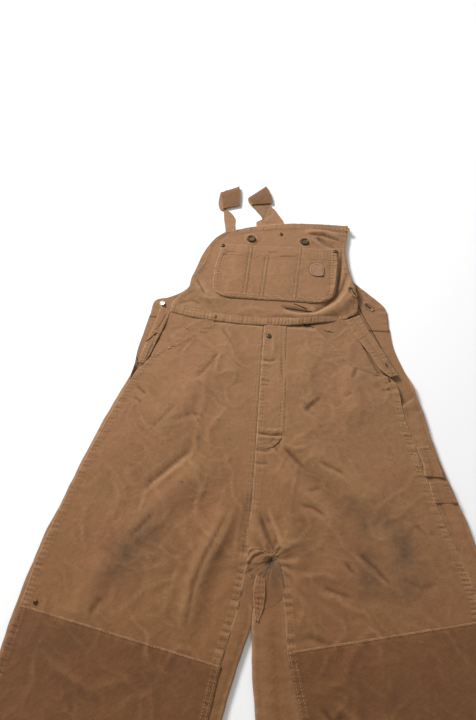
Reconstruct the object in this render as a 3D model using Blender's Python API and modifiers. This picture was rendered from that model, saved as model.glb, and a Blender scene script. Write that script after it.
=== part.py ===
"""Worn duck bib overalls, laid flat on their back: every sewn piece is a thin closed wall.

Plan of the cut in millimetres, seen from the front: X towards the wearer's left, Y towards
the bib, Z up, with the front of the crotch near X 0, Y 0. Metres when the meshes are made.
Run with: blender --background --python part.py
"""
import math

import bmesh
import bpy
import numpy as np
from mathutils import Vector

MM = 0.001

# Cloth walls and the gaps between them
WALL = 1.3            # one layer of duck with its turned edges
STRAP_WALL = 1.8      # two layers sewn together
GAP = 0.35            # between pieces at a seam and between layers
SEAM = 1.7            # between the leg's front and back where the rows don't match
LAYER_TOP = 6.0       # top of the closed leg: back cloth, a little air, front cloth
UNDER = LAYER_TOP - WALL
FOLD_ARC = math.pi * 2.9   # length of cloth that turns round a leg's folded edge

# Spacing of the rows along each panel
ROW = 34.0
BACK_ROW = 52.0
COLS = 11
FLY_W = 41.0

# Hardware
BUTTON_D, BUTTON_H = 17.0, 4.2
RIVET_D, RIVET_H = 9.0, 2.2
SIDE_BUTTON_D = 10.5

# Edges of the cut. Each station holds the inner point and the outer point of a row.
FRONT_LEFT = [((-9.5, 364), (-100, 367)), ((-9.5, 335), (-132, 335)), ((-9.5, 305), (-174, 306)),
              ((-9.5, 283), (-208, 279)), ((-9.5, 262), (-220, 260)), ((-10, 200), (-243, 200)),
              ((-10, 115), (-269, 115)), ((-10, 33), (-291, 33)), ((-9.5, -24), (-303, -20)),
              ((-19, -97), (-312, -72)), ((-38, -174), (-317, -126)), ((-52, -255), (-326, -210)),
              ((-92, -430), (-348, -390)), ((-136, -612), (-369, -575)), ((-184, -817), (-389, -781))]
FRONT_RIGHT = [((-8.5, 364), (82, 366)), ((-8.5, 335), (113, 334)), ((-8.5, 305), (139, 304)),
               ((-8.5, 287), (166, 286)), ((-8.5, 268), (217, 268)), ((-9, 200), (232, 200)),
               ((-9, 115), (253, 115)), ((-9, 33), (275, 36)), ((-8, -26), (286, 6)),
               ((10, -30), (291, -10)), ((27, -35), (298, -30)),
               ((46, -90), (306, -58)), ((54, -151), (312, -94)),
               ((76, -235), (323, -180)), ((118, -430), (344, -385)), ((158, -612), (361, -572)),
               ((199, -814), (379, -784))]
PATCH_FROM = {"left": 10, "right": 12}    # station of the knee patch's top seam
PATCH_TO = {"left": 13, "right": 15}      # station of its lower seam

# Folded outline of each leg: the back cloth turns up round these lines to the seams.
# y, outer fold x, inner fold x
BACK_LEFT = [(376, -227, 0), (330, -232, 0), (291, -236, 0),
             (262, -234, 0), (224, -244, 0), (155, -266, 0),
             (85, -285, 0), (20, -300, 0), (-32, -313, -0.5),
             (-70, -320, 0), (-126, -327, 0), (-176, -331, -14),
             (-240, -337, -30), (-400, -355, -72), (-600, -379, -122),
             (-800, -401, -166)]
BACK_RIGHT = [(376, 225, 0), (336, 229, 0), (292, 243, 0),
              (262, 254, 0), (216, 266, 0), (159, 277, 0),
              (85, 298, 0), (20, 318, 0), (-40, 330, 1.5),
              (-76, 334, 3.5), (-126, 338, 3), (-176, 342, 6),
              (-235, 347, 15), (-400, 364, 62), (-600, 382, 116),
              (-800, 401, 166)]
OUTER_CURL = (262.0, 222.0)    # the side opening ends: cloth starts and finishes turning up
INNER_CURL = {"left": (-32.0, -74.0), "right": (-44.0, -84.0)}

BIB = [((-188, 384.5), (142, 391.5)), ((-185, 403), (163, 404)), ((-175, 421), (167, 421)),
       ((-161, 438), (166, 442)), ((-158, 464), (160, 470)), ((-151, 492), (154, 497)),
       ((-144, 524), (149, 528)), ((-131, 556), (147, 558)), ((-119, 576), (150, 590)),
       ((-105, 589), (154, 627))]
POCKET_ROWS = (2, 7)
POCKET_EDGES = [(-80, 84), (-103, 110), (-112, 121), (-115, 126), (-111, 128), (-107, 130)]
BACK_BIB = [((-226, 378), (223, 378)), ((-220, 409), (218, 424)), ((-199, 416), (196, 448)),
            ((-165, 440), (172, 471)), ((-150, 490), (152, 492)), ((-136, 530), (143, 531)),
            ((-112, 574), (116, 574)), ((-96, 600), (92, 600))]

FACING_LEFT = [((-100, 366), (-104, 355)), ((-128, 370), (-132, 325)),
               ((-158, 375), (-172, 297)), ((-186, 379), (-211, 273))]
FACING_RIGHT = [((82, 363), (84, 355)), ((100, 370), (110, 325)), ((121, 378), (137, 295)),
                ((141, 385), (200, 272))]
BAND_LEFT = [((-189, 381), (-207, 393)), ((-197, 345), (-213, 350)), ((-206, 310), (-221, 312)),
             ((-213, 283), (-226, 284)), ((-221, 266), (-229, 267))]
BAND_RIGHT = [((146, 388), (169, 400)), ((165, 350), (185, 364)), ((186, 318), (207, 325)),
              ((206, 284), (224, 289)), ((220, 273), (231, 276))]
LOOP = [((249, 147), (268, 151)), ((255, 122), (282, 120)), ((257, 100), (287, 100))]
TOOL_POCKET = [((262, 92), (292, 95)), ((264, 76), (297, 78)), ((267, 60), (303, 62))]

# Straps: x, y, z of the middle of the cloth, width, and how far the width line is turned
STRAP_LEFT = [(-94.5, 572, 2.9, 18, 0), (-94.5, 600, 2.9, 18, 0), (-97.5, 624, 1.3, 23, -10),
              (-101.5, 650, 0.9, 31, -33), (-117, 667, 0.9, 12, 6), (-112, 688, 0.9, 32, 14),
              (-107.5, 708, 0.9, 43, 24), (-106, 720, 1.9, 47, 29), (-105, 723.5, 3.6, 47, 30),
              (-104.5, 720, 5.3, 46, 29), (-103, 712, 6.2, 45, 26), (-100.5, 697, 5.6, 43, 22),
              (-98.5, 681, 4.6, 41, 20), (-97, 668, 3.6, 39, 19)]
STRAP_RIGHT = [(-5, 582, 2.9, 64, 0), (-4.5, 604, 2.9, 67, 3), (-12, 635, 1.3, 56, 9),
               (-11.5, 648, 0.9, 37, 26), (-28, 674, 0.9, 36, 22), (-41, 700, 0.9, 46, 36),
               (-44, 716, 1.9, 54, 46), (-43.5, 720.5, 3.6, 55, 48), (-42.5, 717, 5.3, 54, 46),
               (-39, 709, 6.3, 52, 40), (-34.5, 698, 5.6, 49, 26), (-32, 690, 4.8, 48, 16),
               (-31, 683, 3.8, 46.5, 8)]

# Folds of the front: points along the line, half width, height
FOLDS = [
    ([(-44, 30), (-58, -9), (-72, -42), (-86, -80), (-92, -150)], 17, 9.0),
    ([(-22, 20), (-36, -25), (-54, -70), (-62, -120)], 13, -2.0),
    ([(-100, 128), (-130, 98), (-185, 38)], 15, -2.2),
    ([(-84, 105), (-120, 62), (-165, 8), (-205, -52)], 24, 6.3),
    ([(-104, 255), (-135, 205), (-190, 150)], 26, 5.4),
    ([(-86, 350), (-70, 305), (-52, 240)], 20, 3.9),
    ([(-205, 222), (-180, 196), (-150, 186)], 14, -1.8),
    ([(-210, -50), (-232, -100), (-250, -150)], 22, 4.8),
    ([(-12, 60), (-14, 0), (-17, -44)], 9, -2.4),
    ([(10, 30), (24, -10), (38, -44)], 10, -2.8),
    ([(36, 20), (50, -30), (66, -90), (84, -140)], 20, 7.5),
    ([(30, 136), (69, 99), (101, 71), (136, 38), (170, 12)], 17, -2.6),
    ([(48, 150), (95, 112), (140, 80), (196, 44)], 24, 6.9),
    ([(22, 100), (60, 64), (96, 36), (120, 0)], 20, 5.1),
    ([(110, 236), (68, 190)], 14, -2.0),
    ([(150, 292), (142, 240), (160, 180)], 20, 5.1),
    ([(190, 262), (205, 244), (224, 232)], 12, -2.0),
    ([(170, 20), (200, -30), (232, -70)], 24, 5.7),
    ([(92, -64), (150, -78), (210, -74)], 14, -2.2),
    ([(60, 330), (70, 290), (58, 240)], 18, 3.6),
    ([(-70, -330), (-170, -352), (-262, -338)], 22, 5.4),
    ([(-120, -440), (-210, -420), (-330, -448)], 20, -2.0),
    ([(-160, -500), (-240, -560), (-250, -680)], 26, 6.0),
    ([(-225, -660), (-300, -700), (-372, -690)], 20, 4.2),
    ([(100, -320), (190, -348), (300, -330)], 22, 5.4),
    ([(130, -450), (230, -426), (330, -440)], 20, -2.0),
    ([(180, -500), (250, -570), (262, -690)], 26, 6.0),
    ([(235, -650), (300, -700), (365, -684)], 20, 4.2),
]
BIB_FOLDS = [
    ([(22, 408), (57, 401), (84, 402), (106, 418), (124, 438), (140, 468)], 8, -2.2),
    ([(50, 386), (96, 396), (132, 414), (158, 448), (158, 488)], 12, 6.0),
    ([(62, 604), (100, 600), (140, 588)], 10, 4.5),
    ([(88, 586), (112, 576), (146, 566)], 9, -1.6),
    ([(-150, 452), (-120, 428), (-90, 400)], 13, 3.0),
    ([(-60, 560), (-70, 500), (-60, 440)], 18, 1.8),
    ([(20, 545), (26, 490), (20, 430)], 18, 1.6),
]


def clear_scene():
    for ob in list(bpy.data.objects):
        bpy.data.objects.remove(ob, do_unlink=True)


def material(name, colour, rough, metal=0.0):
    mat = bpy.data.materials.new(name)
    mat.use_nodes = True
    node = mat.node_tree.nodes["Principled BSDF"]
    node.inputs["Base Color"].default_value = (*colour, 1.0)
    node.inputs["Roughness"].default_value = rough
    node.inputs["Metallic"].default_value = metal
    mat.diffuse_color = (*colour, 1.0)
    return mat


def smooth_edge(points, at):
    """The point at station number `at` of a smooth line through the points."""
    pts = [np.array(p, float) for p in points]
    k = min(int(at), len(pts) - 2)
    f = at - k
    a, b = pts[k], pts[k + 1]
    span = np.linalg.norm(b - a)

    def slope(i):
        if i == 0 or i == len(pts) - 1:
            j = min(i, len(pts) - 2)
            return (pts[j + 1] - pts[j]) / max(np.linalg.norm(pts[j + 1] - pts[j]), 1e-6)
        back, ahead = pts[i] - pts[i - 1], pts[i + 1] - pts[i]
        lb, la = np.linalg.norm(back), np.linalg.norm(ahead)
        return (back / lb * la + ahead / la * lb) / (la + lb)

    ma, mb = slope(k) * span, slope(k + 1) * span
    h = f * f * (3 - 2 * f)
    return (a * (1 - h) + b * h + ma * (f ** 3 - 2 * f * f + f) + mb * (f ** 3 - f * f))


def stops(stations, spacing):
    """Station numbers of the rows: every station, and enough rows between them."""
    out = [0.0]
    for k in range(len(stations) - 1):
        (i0, o0), (i1, o1) = stations[k], stations[k + 1]
        n = max(1, round((math.dist(i0, i1) + math.dist(o0, o1)) / 2 / spacing))
        out += [k + (j + 1) / n for j in range(n)]
    return out


def fold_height(folds, x, y):
    """Sum of the soft ridges and troughs at a point."""
    total = 0.0
    p = np.array((x, y), float)
    for line, half, height in folds:
        pts = [np.array(q, float) for q in line]
        best, along, done = 1e9, 0.0, 0.0
        length = sum(np.linalg.norm(b - a) for a, b in zip(pts, pts[1:]))
        for a, b in zip(pts, pts[1:]):
            d = b - a
            seg = np.linalg.norm(d)
            f = min(1.0, max(0.0, float(np.dot(p - a, d)) / seg ** 2))
            dist = float(np.linalg.norm(p - a - d * f))
            if dist < best:
                best, along = dist, (done + f * seg) / length
            done += seg
        ends = min(1.0, 4.0 * along + 0.15, 4.0 * (1 - along) + 0.15)
        total += height * ends * math.exp(-(best / half) ** 2)
    return total


def rows_of(stations, spacing, fractions, height, shift=None):
    """Grid of points: fractions(at, inner, outer) gives where the columns lie on a row."""
    grid = []
    for at in stops(stations, spacing):
        inner = smooth_edge([s[0] for s in stations], at)
        outer = smooth_edge([s[1] for s in stations], at)
        row = []
        for f in fractions(at, inner, outer):
            x, y = inner + (outer - inner) * f
            if shift:
                y += shift(at, f)
            row.append((x, y, height(x, y, f, at)))
        grid.append(row)
    return grid


def panel(name, grid, mat, lift=0.0, wall=WALL):
    """A wall with the grid as its underside: the faces are extruded straight up."""
    bm = bmesh.new()
    verts = [[bm.verts.new((x * MM, y * MM, (z + lift) * MM)) for x, y, z in row] for row in grid]
    for r in range(len(grid) - 1):
        for c in range(len(grid[0]) - 1):
            a, b, d, e = verts[r][c], verts[r][c + 1], verts[r + 1][c + 1], verts[r + 1][c]
            bm.faces.new((a, b, d))
            bm.faces.new((a, d, e))
    made = bmesh.ops.extrude_face_region(bm, geom=bm.faces[:])
    top = [v for v in made["geom"] if isinstance(v, bmesh.types.BMVert)]
    bmesh.ops.translate(bm, verts=top, vec=(0, 0, wall * MM))
    bmesh.ops.recalc_face_normals(bm, faces=bm.faces[:])
    return finish_mesh(name, bm, mat)


def finish_mesh(name, bm, mat):
    mesh = bpy.data.meshes.new(name)
    bm.to_mesh(mesh)
    bm.free()
    ob = bpy.data.objects.new(name, mesh)
    mesh.materials.append(mat)
    OVERALLS.objects.link(ob)
    return ob


def solid_sheet(name, grid, mat, wall, offset):
    """A curled sheet: an open surface with a Solidify modifier."""
    bm = bmesh.new()
    verts = [[bm.verts.new([v * MM for v in p]) for p in row] for row in grid]
    for r in range(len(grid) - 1):
        for c in range(len(grid[0]) - 1):
            a, b, d, e = verts[r][c], verts[r][c + 1], verts[r + 1][c + 1], verts[r + 1][c]
            bm.faces.new((a, b, d))
            bm.faces.new((a, d, e))
    ob = finish_mesh(name, bm, mat)
    mod = ob.modifiers.new("cloth wall", "SOLIDIFY")
    mod.thickness = wall * MM
    mod.offset = offset
    mod.use_even_offset = True
    return ob


def front_columns(stations):
    """Columns of a leg front: two cover the fly's width, the others share the rest."""
    def columns(at, inner, outer):
        width = math.dist(inner, outer)
        even = 2 / COLS
        blend = min(1.0, max(0.0, (at - 6.0) / 3.0))
        first = (FLY_W / width) * (1 - blend) + even * blend
        return [0, first / 2] + [first + (1 - first) * k / (COLS - 2) for k in range(COLS - 1)]
    return columns


def front_height(x, y, f, at):
    edge = min(1.0, 0.15 + 5.0 * min(f, 1 - f) if y < 0 else 0.15 + 5.0 * (1 - f))
    waist = min(1.0, max(0.1, (366 - y) / 50.0))
    z = fold_height(FOLDS, x, y) * edge * waist
    return UNDER + max(z, -2.6)


def leg_front(side, stations, cloth, worn):
    grid = rows_of(stations, ROW, front_columns(stations), front_height)
    at = stops(stations, ROW)
    front = panel("front_" + side, grid, cloth)
    top = at.index(float(PATCH_FROM[side]))
    low = at.index(float(PATCH_TO[side]))
    panel("knee_patch_" + side, grid[top:low + 1], worn, WALL + GAP)
    return grid, at, front


def fly_placket(grid, at, mat):
    """The two columns next to the centre seam, closed by a rounded lower end."""
    last = [k for k, a in enumerate(at) if a <= 6.0][-1]
    rows = [list(row[:3]) for row in grid[:last + 1]]
    (x0, y0, z0), (x1, y1, z1), (x2, y2, z2) = rows[-1]
    rows[-1][2] = (x1 + 3, y2 + 2, z1)
    return panel("fly_placket", rows, mat, WALL + GAP)


def curled(start, turn, direction, tail, steps):
    """Points of cloth that turns up by an angle from the flat and then runs straight."""
    pts = []
    for k in range(steps + 1):
        a = turn * k / steps
        if turn > 1e-4:
            r = FOLD_ARC / turn
            dx, dz = r * math.sin(a), r * (1 - math.cos(a))
        else:
            dx, dz = FOLD_ARC * k / steps, 0.0
        pts.append((start + direction * dx, dz))
    ex, ez = pts[-1]
    pts.append((ex + direction * math.cos(turn) * tail, ez + math.sin(turn) * tail))
    return pts


def edge_x(grid, column, y):
    """Where a panel's edge lies at a height on the plan."""
    line = [row[column] for row in grid]
    for p, q in zip(line, line[1:]):
        if p[1] >= y > q[1]:
            return p[0] + (q[0] - p[0]) * (p[1] - y) / (p[1] - q[1])
    return line[0][0] if y > line[0][1] else line[-1][0]


def leg_back(side, rows, front, mat):
    """Back cloth: flat on the surface, turned up round both folded edges to the seams."""
    sign = -1 if side == "left" else 1
    radius = FOLD_ARC / math.pi
    grid = []
    for at in stops([((0, r[0]), (0, r[0])) for r in rows], BACK_ROW):
        y, outer = smooth_edge([(r[0], r[1]) for r in rows], at)
        _, inner = smooth_edge([(r[0], r[2]) for r in rows], at)
        mid = (outer + inner) / 2
        skew = max(0.0, min(1.0, (-240 - y) / 560)) * 0.18

        def turn(limits):
            f = min(1.0, max(0.0, (limits[0] - y) / (limits[0] - limits[1])))
            return math.pi * f * f * (3 - 2 * f)

        def tail(fold, column, angle):
            seam = edge_x(front, column, y + sign * (fold - mid) * skew)
            full = abs(fold - seam) - radius - SEAM
            return 1.6 + max(0.0, full - 1.6) * (angle / math.pi) ** 6

        def reach(angle):
            flat = FOLD_ARC + 2.0 + GAP
            return radius + (flat - radius) * (1 - angle / math.pi)

        turn_out, turn_in = turn(OUTER_CURL), turn(INNER_CURL[side])
        out = curled(outer - sign * reach(turn_out), turn_out, sign, tail(outer, -1, turn_out), 4)
        ins = curled(inner + sign * reach(turn_in), turn_in, -sign, tail(inner, 0, turn_in), 4)
        a, b = out[0][0], ins[0][0]
        section = out[::-1] + [(a + (b - a) * k / 4, 0.0) for k in (1, 2, 3)] + ins
        row = [(x, y + sign * (x - mid) * skew, z) for x, z in section]
        grid.append(row if side == "left" else row[::-1])
    return solid_sheet("back_" + side, grid, mat, WALL, -1.0)


def build_cloth(mats):
    cloth, worn, inner, tab = mats
    left, at_left, _ = leg_front("left", FRONT_LEFT, cloth, worn)
    right, at_right, _ = leg_front("right", FRONT_RIGHT, cloth, worn)
    fly = fly_placket(right, at_right, cloth)
    leg_back("left", BACK_LEFT, left, cloth)
    leg_back("right", BACK_RIGHT, right, cloth)

    def bib_columns(at, inner_pt, outer_pt):
        k = min(max(at - POCKET_ROWS[0], 0.0), len(POCKET_EDGES) - 1.0)
        lo, hi = smooth_edge([(p[0], p[1]) for p in POCKET_EDGES], k)
        width = outer_pt[0] - inner_pt[0]
        a, b = (lo - inner_pt[0]) / width, (hi - inner_pt[0]) / width
        return [0, a / 2] + [a + (b - a) * n / 7 for n in range(8)] + [(1 + b) / 2, 1]

    def bib_shift(at, f):
        sag = -21.5 * (1 - (2 * f - 1) ** 2) * max(0.0, 1 - at / 2.0)
        crown = 17.0 * math.sin(math.pi * max(f, 0.0) ** 0.85) * max(0.0, at - 8.0)
        return sag + crown

    def bib_height(x, y, f, at):
        return UNDER + max(fold_height(BIB_FOLDS, x, y), -0.9)

    bib = rows_of(BIB, 30.0, bib_columns, bib_height, bib_shift)
    at_bib = stops(BIB, 30.0)
    panel("bib_front", bib, cloth)
    lo, hi = at_bib.index(float(POCKET_ROWS[0])), at_bib.index(float(POCKET_ROWS[1]))
    pocket = [row[2:10] for row in bib[lo:hi + 1]]
    panel("bib_pocket", pocket, cloth, WALL + GAP)

    def even(n):
        return lambda at, i, o: [k / n for k in range(n + 1)]

    flat = lambda z: (lambda x, y, f, at: z)
    panel("back_bib", rows_of(BACK_BIB, 46.0, even(6), flat(0.0)), inner)
    panel("pocket_facing_left", rows_of(FACING_LEFT, 40.0, even(3), flat(3.0)), cloth)
    panel("pocket_facing_right", rows_of(FACING_RIGHT, 40.0, even(3), flat(3.0)), cloth)
    panel("side_band_left", rows_of(BAND_LEFT, 40.0, even(2), flat(UNDER)), cloth)
    panel("side_band_right", rows_of(BAND_RIGHT, 40.0, even(2), flat(UNDER)), cloth)
    panel("hammer_loop", rows_of(LOOP, 30.0, even(2), flat(LAYER_TOP + GAP)), cloth, wall=1.6)
    panel("tool_pocket", rows_of(TOOL_POCKET, 30.0, even(2), flat(LAYER_TOP + GAP)), cloth)
    return {"left": left, "right": right, "bib": bib, "pocket": pocket}


def strap(name, stations, mat):
    grid = []
    for x, y, z, width, turn in stations:
        a = math.radians(turn)
        wx, wy = math.cos(a) * width / 2, math.sin(a) * width / 2
        grid.append([(x - wx, y - wy, z), (x, y, z), (x + wx, y + wy, z)])
    return solid_sheet(name, grid, mat, STRAP_WALL, 0.0)


def surface_height(grid, x, y, lift):
    """Height of the top of a panel's facets at a point."""
    best = None
    for r in range(len(grid) - 1):
        for c in range(len(grid[0]) - 1):
            a, b, d, e = grid[r][c], grid[r][c + 1], grid[r + 1][c + 1], grid[r + 1][c]
            for p, q, s in ((a, b, d), (a, d, e)):
                det = (q[1] - s[1]) * (p[0] - s[0]) + (s[0] - q[0]) * (p[1] - s[1])
                if abs(det) < 1e-9:
                    continue
                u = ((q[1] - s[1]) * (x - s[0]) + (s[0] - q[0]) * (y - s[1])) / det
                v = ((s[1] - p[1]) * (x - s[0]) + (p[0] - s[0]) * (y - s[1])) / det
                if u >= -1e-6 and v >= -1e-6 and u + v <= 1 + 1e-6:
                    z = u * p[2] + v * q[2] + (1 - u - v) * s[2] + lift
                    best = z if best is None else max(best, z)
    return best


def seat(grids, x, y, radius):
    """Lowest height at which a disc clears every panel under it."""
    top = 0.0
    for grid, lift in grids:
        for r in (0.0, radius * 0.5, radius):
            for k in range(16):
                a = 2 * math.pi * k / 16
                z = surface_height(grid, x + r * math.cos(a), y + r * math.sin(a), lift)
                top = max(top, z if z is not None else 0.0)
    return top + GAP


def turned(name, profile, x, y, z, mat, steps=24):
    """A turned piece: the profile is spun round the upright axis with a Screw modifier."""
    bm = bmesh.new()
    verts = [bm.verts.new((r * MM, 0, h * MM)) for r, h in profile]
    for a, b in zip(verts, verts[1:]):
        bm.edges.new((a, b))
    ob = finish_mesh(name, bm, mat)
    ob.location = (x * MM, y * MM, z * MM)
    mod = ob.modifiers.new("turn", "SCREW")
    mod.steps = mod.render_steps = steps
    mod.use_merge_vertices = True
    mod.merge_threshold = 0.00001
    mod.use_normal_calculate = True
    return ob


def button_profile(d, h):
    r = d / 2
    return [(0, 0), (r * 0.55, 0), (r * 0.6, h * 0.35), (r, h * 0.45), (r, h * 0.75), (r * 0.9, h),
            (r * 0.72, h), (r * 0.62, h * 0.72), (r * 0.3, h * 0.66), (0, h * 0.8)]


def rivet_profile(d, h):
    r = d / 2
    return [(0, 0), (r, 0), (r, h * 0.3), (r * 0.8, h * 0.75), (r * 0.42, h),
            (r * 0.3, h * 0.6), (0, h * 0.6)]


def build_hardware(grids, brass, steel):
    left, right, bib, pocket = (grids[k] for k in ("left", "right", "bib", "pocket"))
    on_bib = [(bib, WALL), (pocket, 2 * WALL + GAP)]
    for side, x in (("left", -47), ("right", 63)):
        z = seat(on_bib, x, 575, BUTTON_D / 2)
        turned("bib_button_" + side, button_profile(BUTTON_D, BUTTON_H), x, 575, z, brass)
    for side, x, y in (("left", -104, 552), ("centre", 14, 593), ("right", 126, 553)):
        z = seat(on_bib, x, y, RIVET_D / 2)
        turned("bib_rivet_" + side, rivet_profile(RIVET_D, RIVET_H), x, y, z, brass, 16)
    z = seat(on_bib, -101, 375, RIVET_D / 2)
    turned("waist_rivet", rivet_profile(RIVET_D, RIVET_H), -101, 375, z, brass, 16)
    fly = [row[:3] for row in right]
    z = seat([(fly, 2 * WALL + GAP)], 1, 340, 5.0)
    turned("fly_rivet", rivet_profile(RIVET_D, RIVET_H), 1, 340, z, brass, 16)
    z = seat([(left, 2 * WALL + GAP)], -299, -121, 3.5)
    turned("knee_rivet", rivet_profile(6.5, 1.8), -299, -121, z, brass, 16)
    turned("side_button", button_profile(SIDE_BUTTON_D, 3.8), -206, 400, WALL + GAP, steel)
    z = seat(on_bib, 152, 614, 5.0)
    turned("corner_stud", button_profile(11.0, 4.0), 152, 614, z, brass, 20)


def tab_on_pocket(pocket, mat):
    """Blank rounded tab: a soft-cornered diamond cut, sewn on the pocket."""
    rings = []
    cx, cy = 88.0, 502.0
    for k in range(20):
        a = 2 * math.pi * k / 20
        r = 16.0 + 2.2 * math.cos(4 * (a - 0.9))
        rings.append((cx + r * math.cos(a), cy + 1.1 * r * math.sin(a)))
    base = max(surface_height(pocket, x, y, 2 * WALL + GAP) or 0 for x, y in rings + [(cx, cy)]) + GAP
    bm = bmesh.new()
    bm.faces.new([bm.verts.new((x * MM, y * MM, base * MM)) for x, y in rings])
    made = bmesh.ops.extrude_face_region(bm, geom=bm.faces[:])
    top = [v for v in made["geom"] if isinstance(v, bmesh.types.BMVert)]
    bmesh.ops.translate(bm, verts=top, vec=(0, 0, 1.0 * MM))
    bmesh.ops.recalc_face_normals(bm, faces=bm.faces[:])
    return finish_mesh("blank_tab", bm, mat)


def centre_on_origin():
    """Origin under the middle of the whole piece, on the surface it lies on."""
    bpy.context.view_layer.update()
    graph = bpy.context.evaluated_depsgraph_get()
    low, high = Vector((1e9,) * 3), Vector((-1e9,) * 3)
    for ob in OVERALLS.objects:
        mesh = ob.evaluated_get(graph).to_mesh()
        for v in mesh.vertices:
            p = ob.matrix_world @ v.co
            low = Vector(map(min, low, p))
            high = Vector(map(max, high, p))
    move = Vector((-(low.x + high.x) / 2, -(low.y + high.y) / 2, -low.z))
    for ob in OVERALLS.objects:
        ob.location += move


clear_scene()
OVERALLS = bpy.data.collections.new("Bib Overalls")
bpy.context.scene.collection.children.link(OVERALLS)
duck = material("faded_duck", (0.32, 0.185, 0.105), 0.9)
knee = material("knee_duck", (0.21, 0.115, 0.06), 0.92)
lining_side = material("duck_inner_face", (0.19, 0.09, 0.035), 0.9)
tab_duck = material("tab_duck", (0.34, 0.19, 0.09), 0.85)
old_brass = material("old_brass", (0.25, 0.17, 0.08), 0.45, 1.0)
bright_steel = material("bright_steel", (0.75, 0.74, 0.72), 0.25, 1.0)
panels = build_cloth((duck, knee, lining_side, tab_duck))
strap("strap_left", STRAP_LEFT, duck)
strap("strap_right", STRAP_RIGHT, duck)
tab_on_pocket(panels["pocket"], tab_duck)
build_hardware(panels, old_brass, bright_steel)
centre_on_origin()
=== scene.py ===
"""Worn duck bib overalls laid flat: the looks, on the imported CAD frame.

Each panel of the cut is a thin shell of dense cloth on its CAD solid. The plan of the cut is
in millimetres, X towards the wearer's left, Y towards the bib, with the crotch near 0, 0, and
it is laid onto the frame by the box of the fly's rivet.
"""
import math

import bmesh
import bpy
import numpy as np
from mathutils import Matrix, Vector
from mathutils.bvhtree import BVHTree


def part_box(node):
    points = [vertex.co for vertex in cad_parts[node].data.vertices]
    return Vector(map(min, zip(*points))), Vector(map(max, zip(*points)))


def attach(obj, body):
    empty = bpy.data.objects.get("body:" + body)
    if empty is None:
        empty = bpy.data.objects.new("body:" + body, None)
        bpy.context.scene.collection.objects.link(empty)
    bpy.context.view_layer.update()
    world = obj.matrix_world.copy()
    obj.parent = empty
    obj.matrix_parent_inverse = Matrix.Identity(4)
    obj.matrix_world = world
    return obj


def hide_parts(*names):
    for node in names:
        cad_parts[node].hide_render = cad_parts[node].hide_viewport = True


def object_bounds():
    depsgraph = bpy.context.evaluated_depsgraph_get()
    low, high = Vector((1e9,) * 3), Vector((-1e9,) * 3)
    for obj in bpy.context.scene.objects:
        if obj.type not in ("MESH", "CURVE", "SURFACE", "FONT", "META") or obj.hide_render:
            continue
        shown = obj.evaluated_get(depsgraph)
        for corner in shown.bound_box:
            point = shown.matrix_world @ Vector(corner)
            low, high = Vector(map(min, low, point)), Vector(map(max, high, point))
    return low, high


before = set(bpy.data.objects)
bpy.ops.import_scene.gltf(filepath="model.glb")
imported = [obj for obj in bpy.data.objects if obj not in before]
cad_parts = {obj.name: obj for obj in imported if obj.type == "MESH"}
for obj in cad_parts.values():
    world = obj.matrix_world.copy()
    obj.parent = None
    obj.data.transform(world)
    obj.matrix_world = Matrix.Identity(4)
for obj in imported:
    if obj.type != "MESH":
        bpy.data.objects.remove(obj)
CAD_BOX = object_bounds()
MM = 0.001
STEP = 3.0   # spacing of the dense rows

FLY_STUD = (1.0, 340.0)   # the fly's rivet on the plan of the cut
stud_low, stud_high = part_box("fly_rivet")
SHIFT = np.array([(stud_low[k] + stud_high[k]) / 2 - FLY_STUD[k] * MM for k in (0, 1)] + [0.0])

LAYER_TOP = 6.0      # top of a closed leg
SKIN = 1.1           # thickness of a shell
PATCH_RISE = 1.35    # a knee patch over its front
ON_BIB = 1.25        # the pocket over the bib
FOLD_R = 2.9         # radius of a leg's folded edge
SEAM_REACH = 5.0     # the turned-up back cloth runs in past its seam
BAND_TUCK = 3.0      # a side binding runs on under the leg, beyond its stated cut
TUCK = 2.6           # the left front's centre edge runs under the fly
TAIL_RISE = 0.8      # most that part-turned cloth stands above the fold

FRONT = {
    "left": [((-9.5, 364), (-100, 367)), ((-9.5, 335), (-132, 335)), ((-9.5, 305), (-174, 306)),
             ((-9.5, 283), (-208, 279)), ((-9.5, 262), (-220, 260)), ((-10, 200), (-243, 200)),
             ((-10, 115), (-269, 115)), ((-10, 33), (-291, 33)), ((-9.5, -24), (-303, -20)),
             ((-19, -97), (-312, -72)), ((-38, -174), (-317, -126)), ((-52, -255), (-326, -210)),
             ((-92, -430), (-348, -390)), ((-136, -612), (-369, -575)), ((-184, -817), (-389, -781))],
    "right": [((-8.5, 364), (82, 366)), ((-8.5, 335), (113, 334)), ((-8.5, 305), (139, 304)),
              ((-8.5, 287), (166, 286)), ((-8.5, 268), (217, 268)), ((-9, 200), (232, 200)),
              ((-9, 115), (253, 115)), ((-9, 33), (275, 36)), ((-8, -26), (286, 6)),
              ((10, -30), (291, -10)), ((27, -35), (298, -30)),
              ((46, -90), (306, -58)), ((54, -151), (312, -94)),
              ((76, -235), (323, -180)), ((118, -430), (344, -385)), ((158, -612), (361, -572)),
              ((199, -814), (379, -784))],
}
PATCH = {"left": (10, 13), "right": (12, 15)}
BACK = {
    "left": [(376, -227, 0), (330, -232, 0), (291, -236, 0), (262, -234, 0), (224, -244, 0),
             (155, -266, 0), (85, -285, 0), (20, -300, 0), (-32, -313, 0.4), (-70, -320, 1.5),
             (-126, -327, 1.4), (-176, -331, -14), (-240, -337, -30), (-400, -355, -72),
             (-600, -379, -122), (-800, -401, -166)],
    "right": [(376, 225, 0), (336, 229, 0), (292, 243, 0), (262, 254, 0), (216, 266, 0),
              (159, 277, 0), (85, 298, 0), (20, 318, 0), (-40, 330, 0.8), (-76, 334, 1.7),
              (-126, 338, 1.8), (-176, 342, 6), (-235, 347, 15), (-400, 364, 62),
              (-600, 382, 116), (-800, 401, 166)],
}
OUTER_CURL = (292.0, 212.0)
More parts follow.
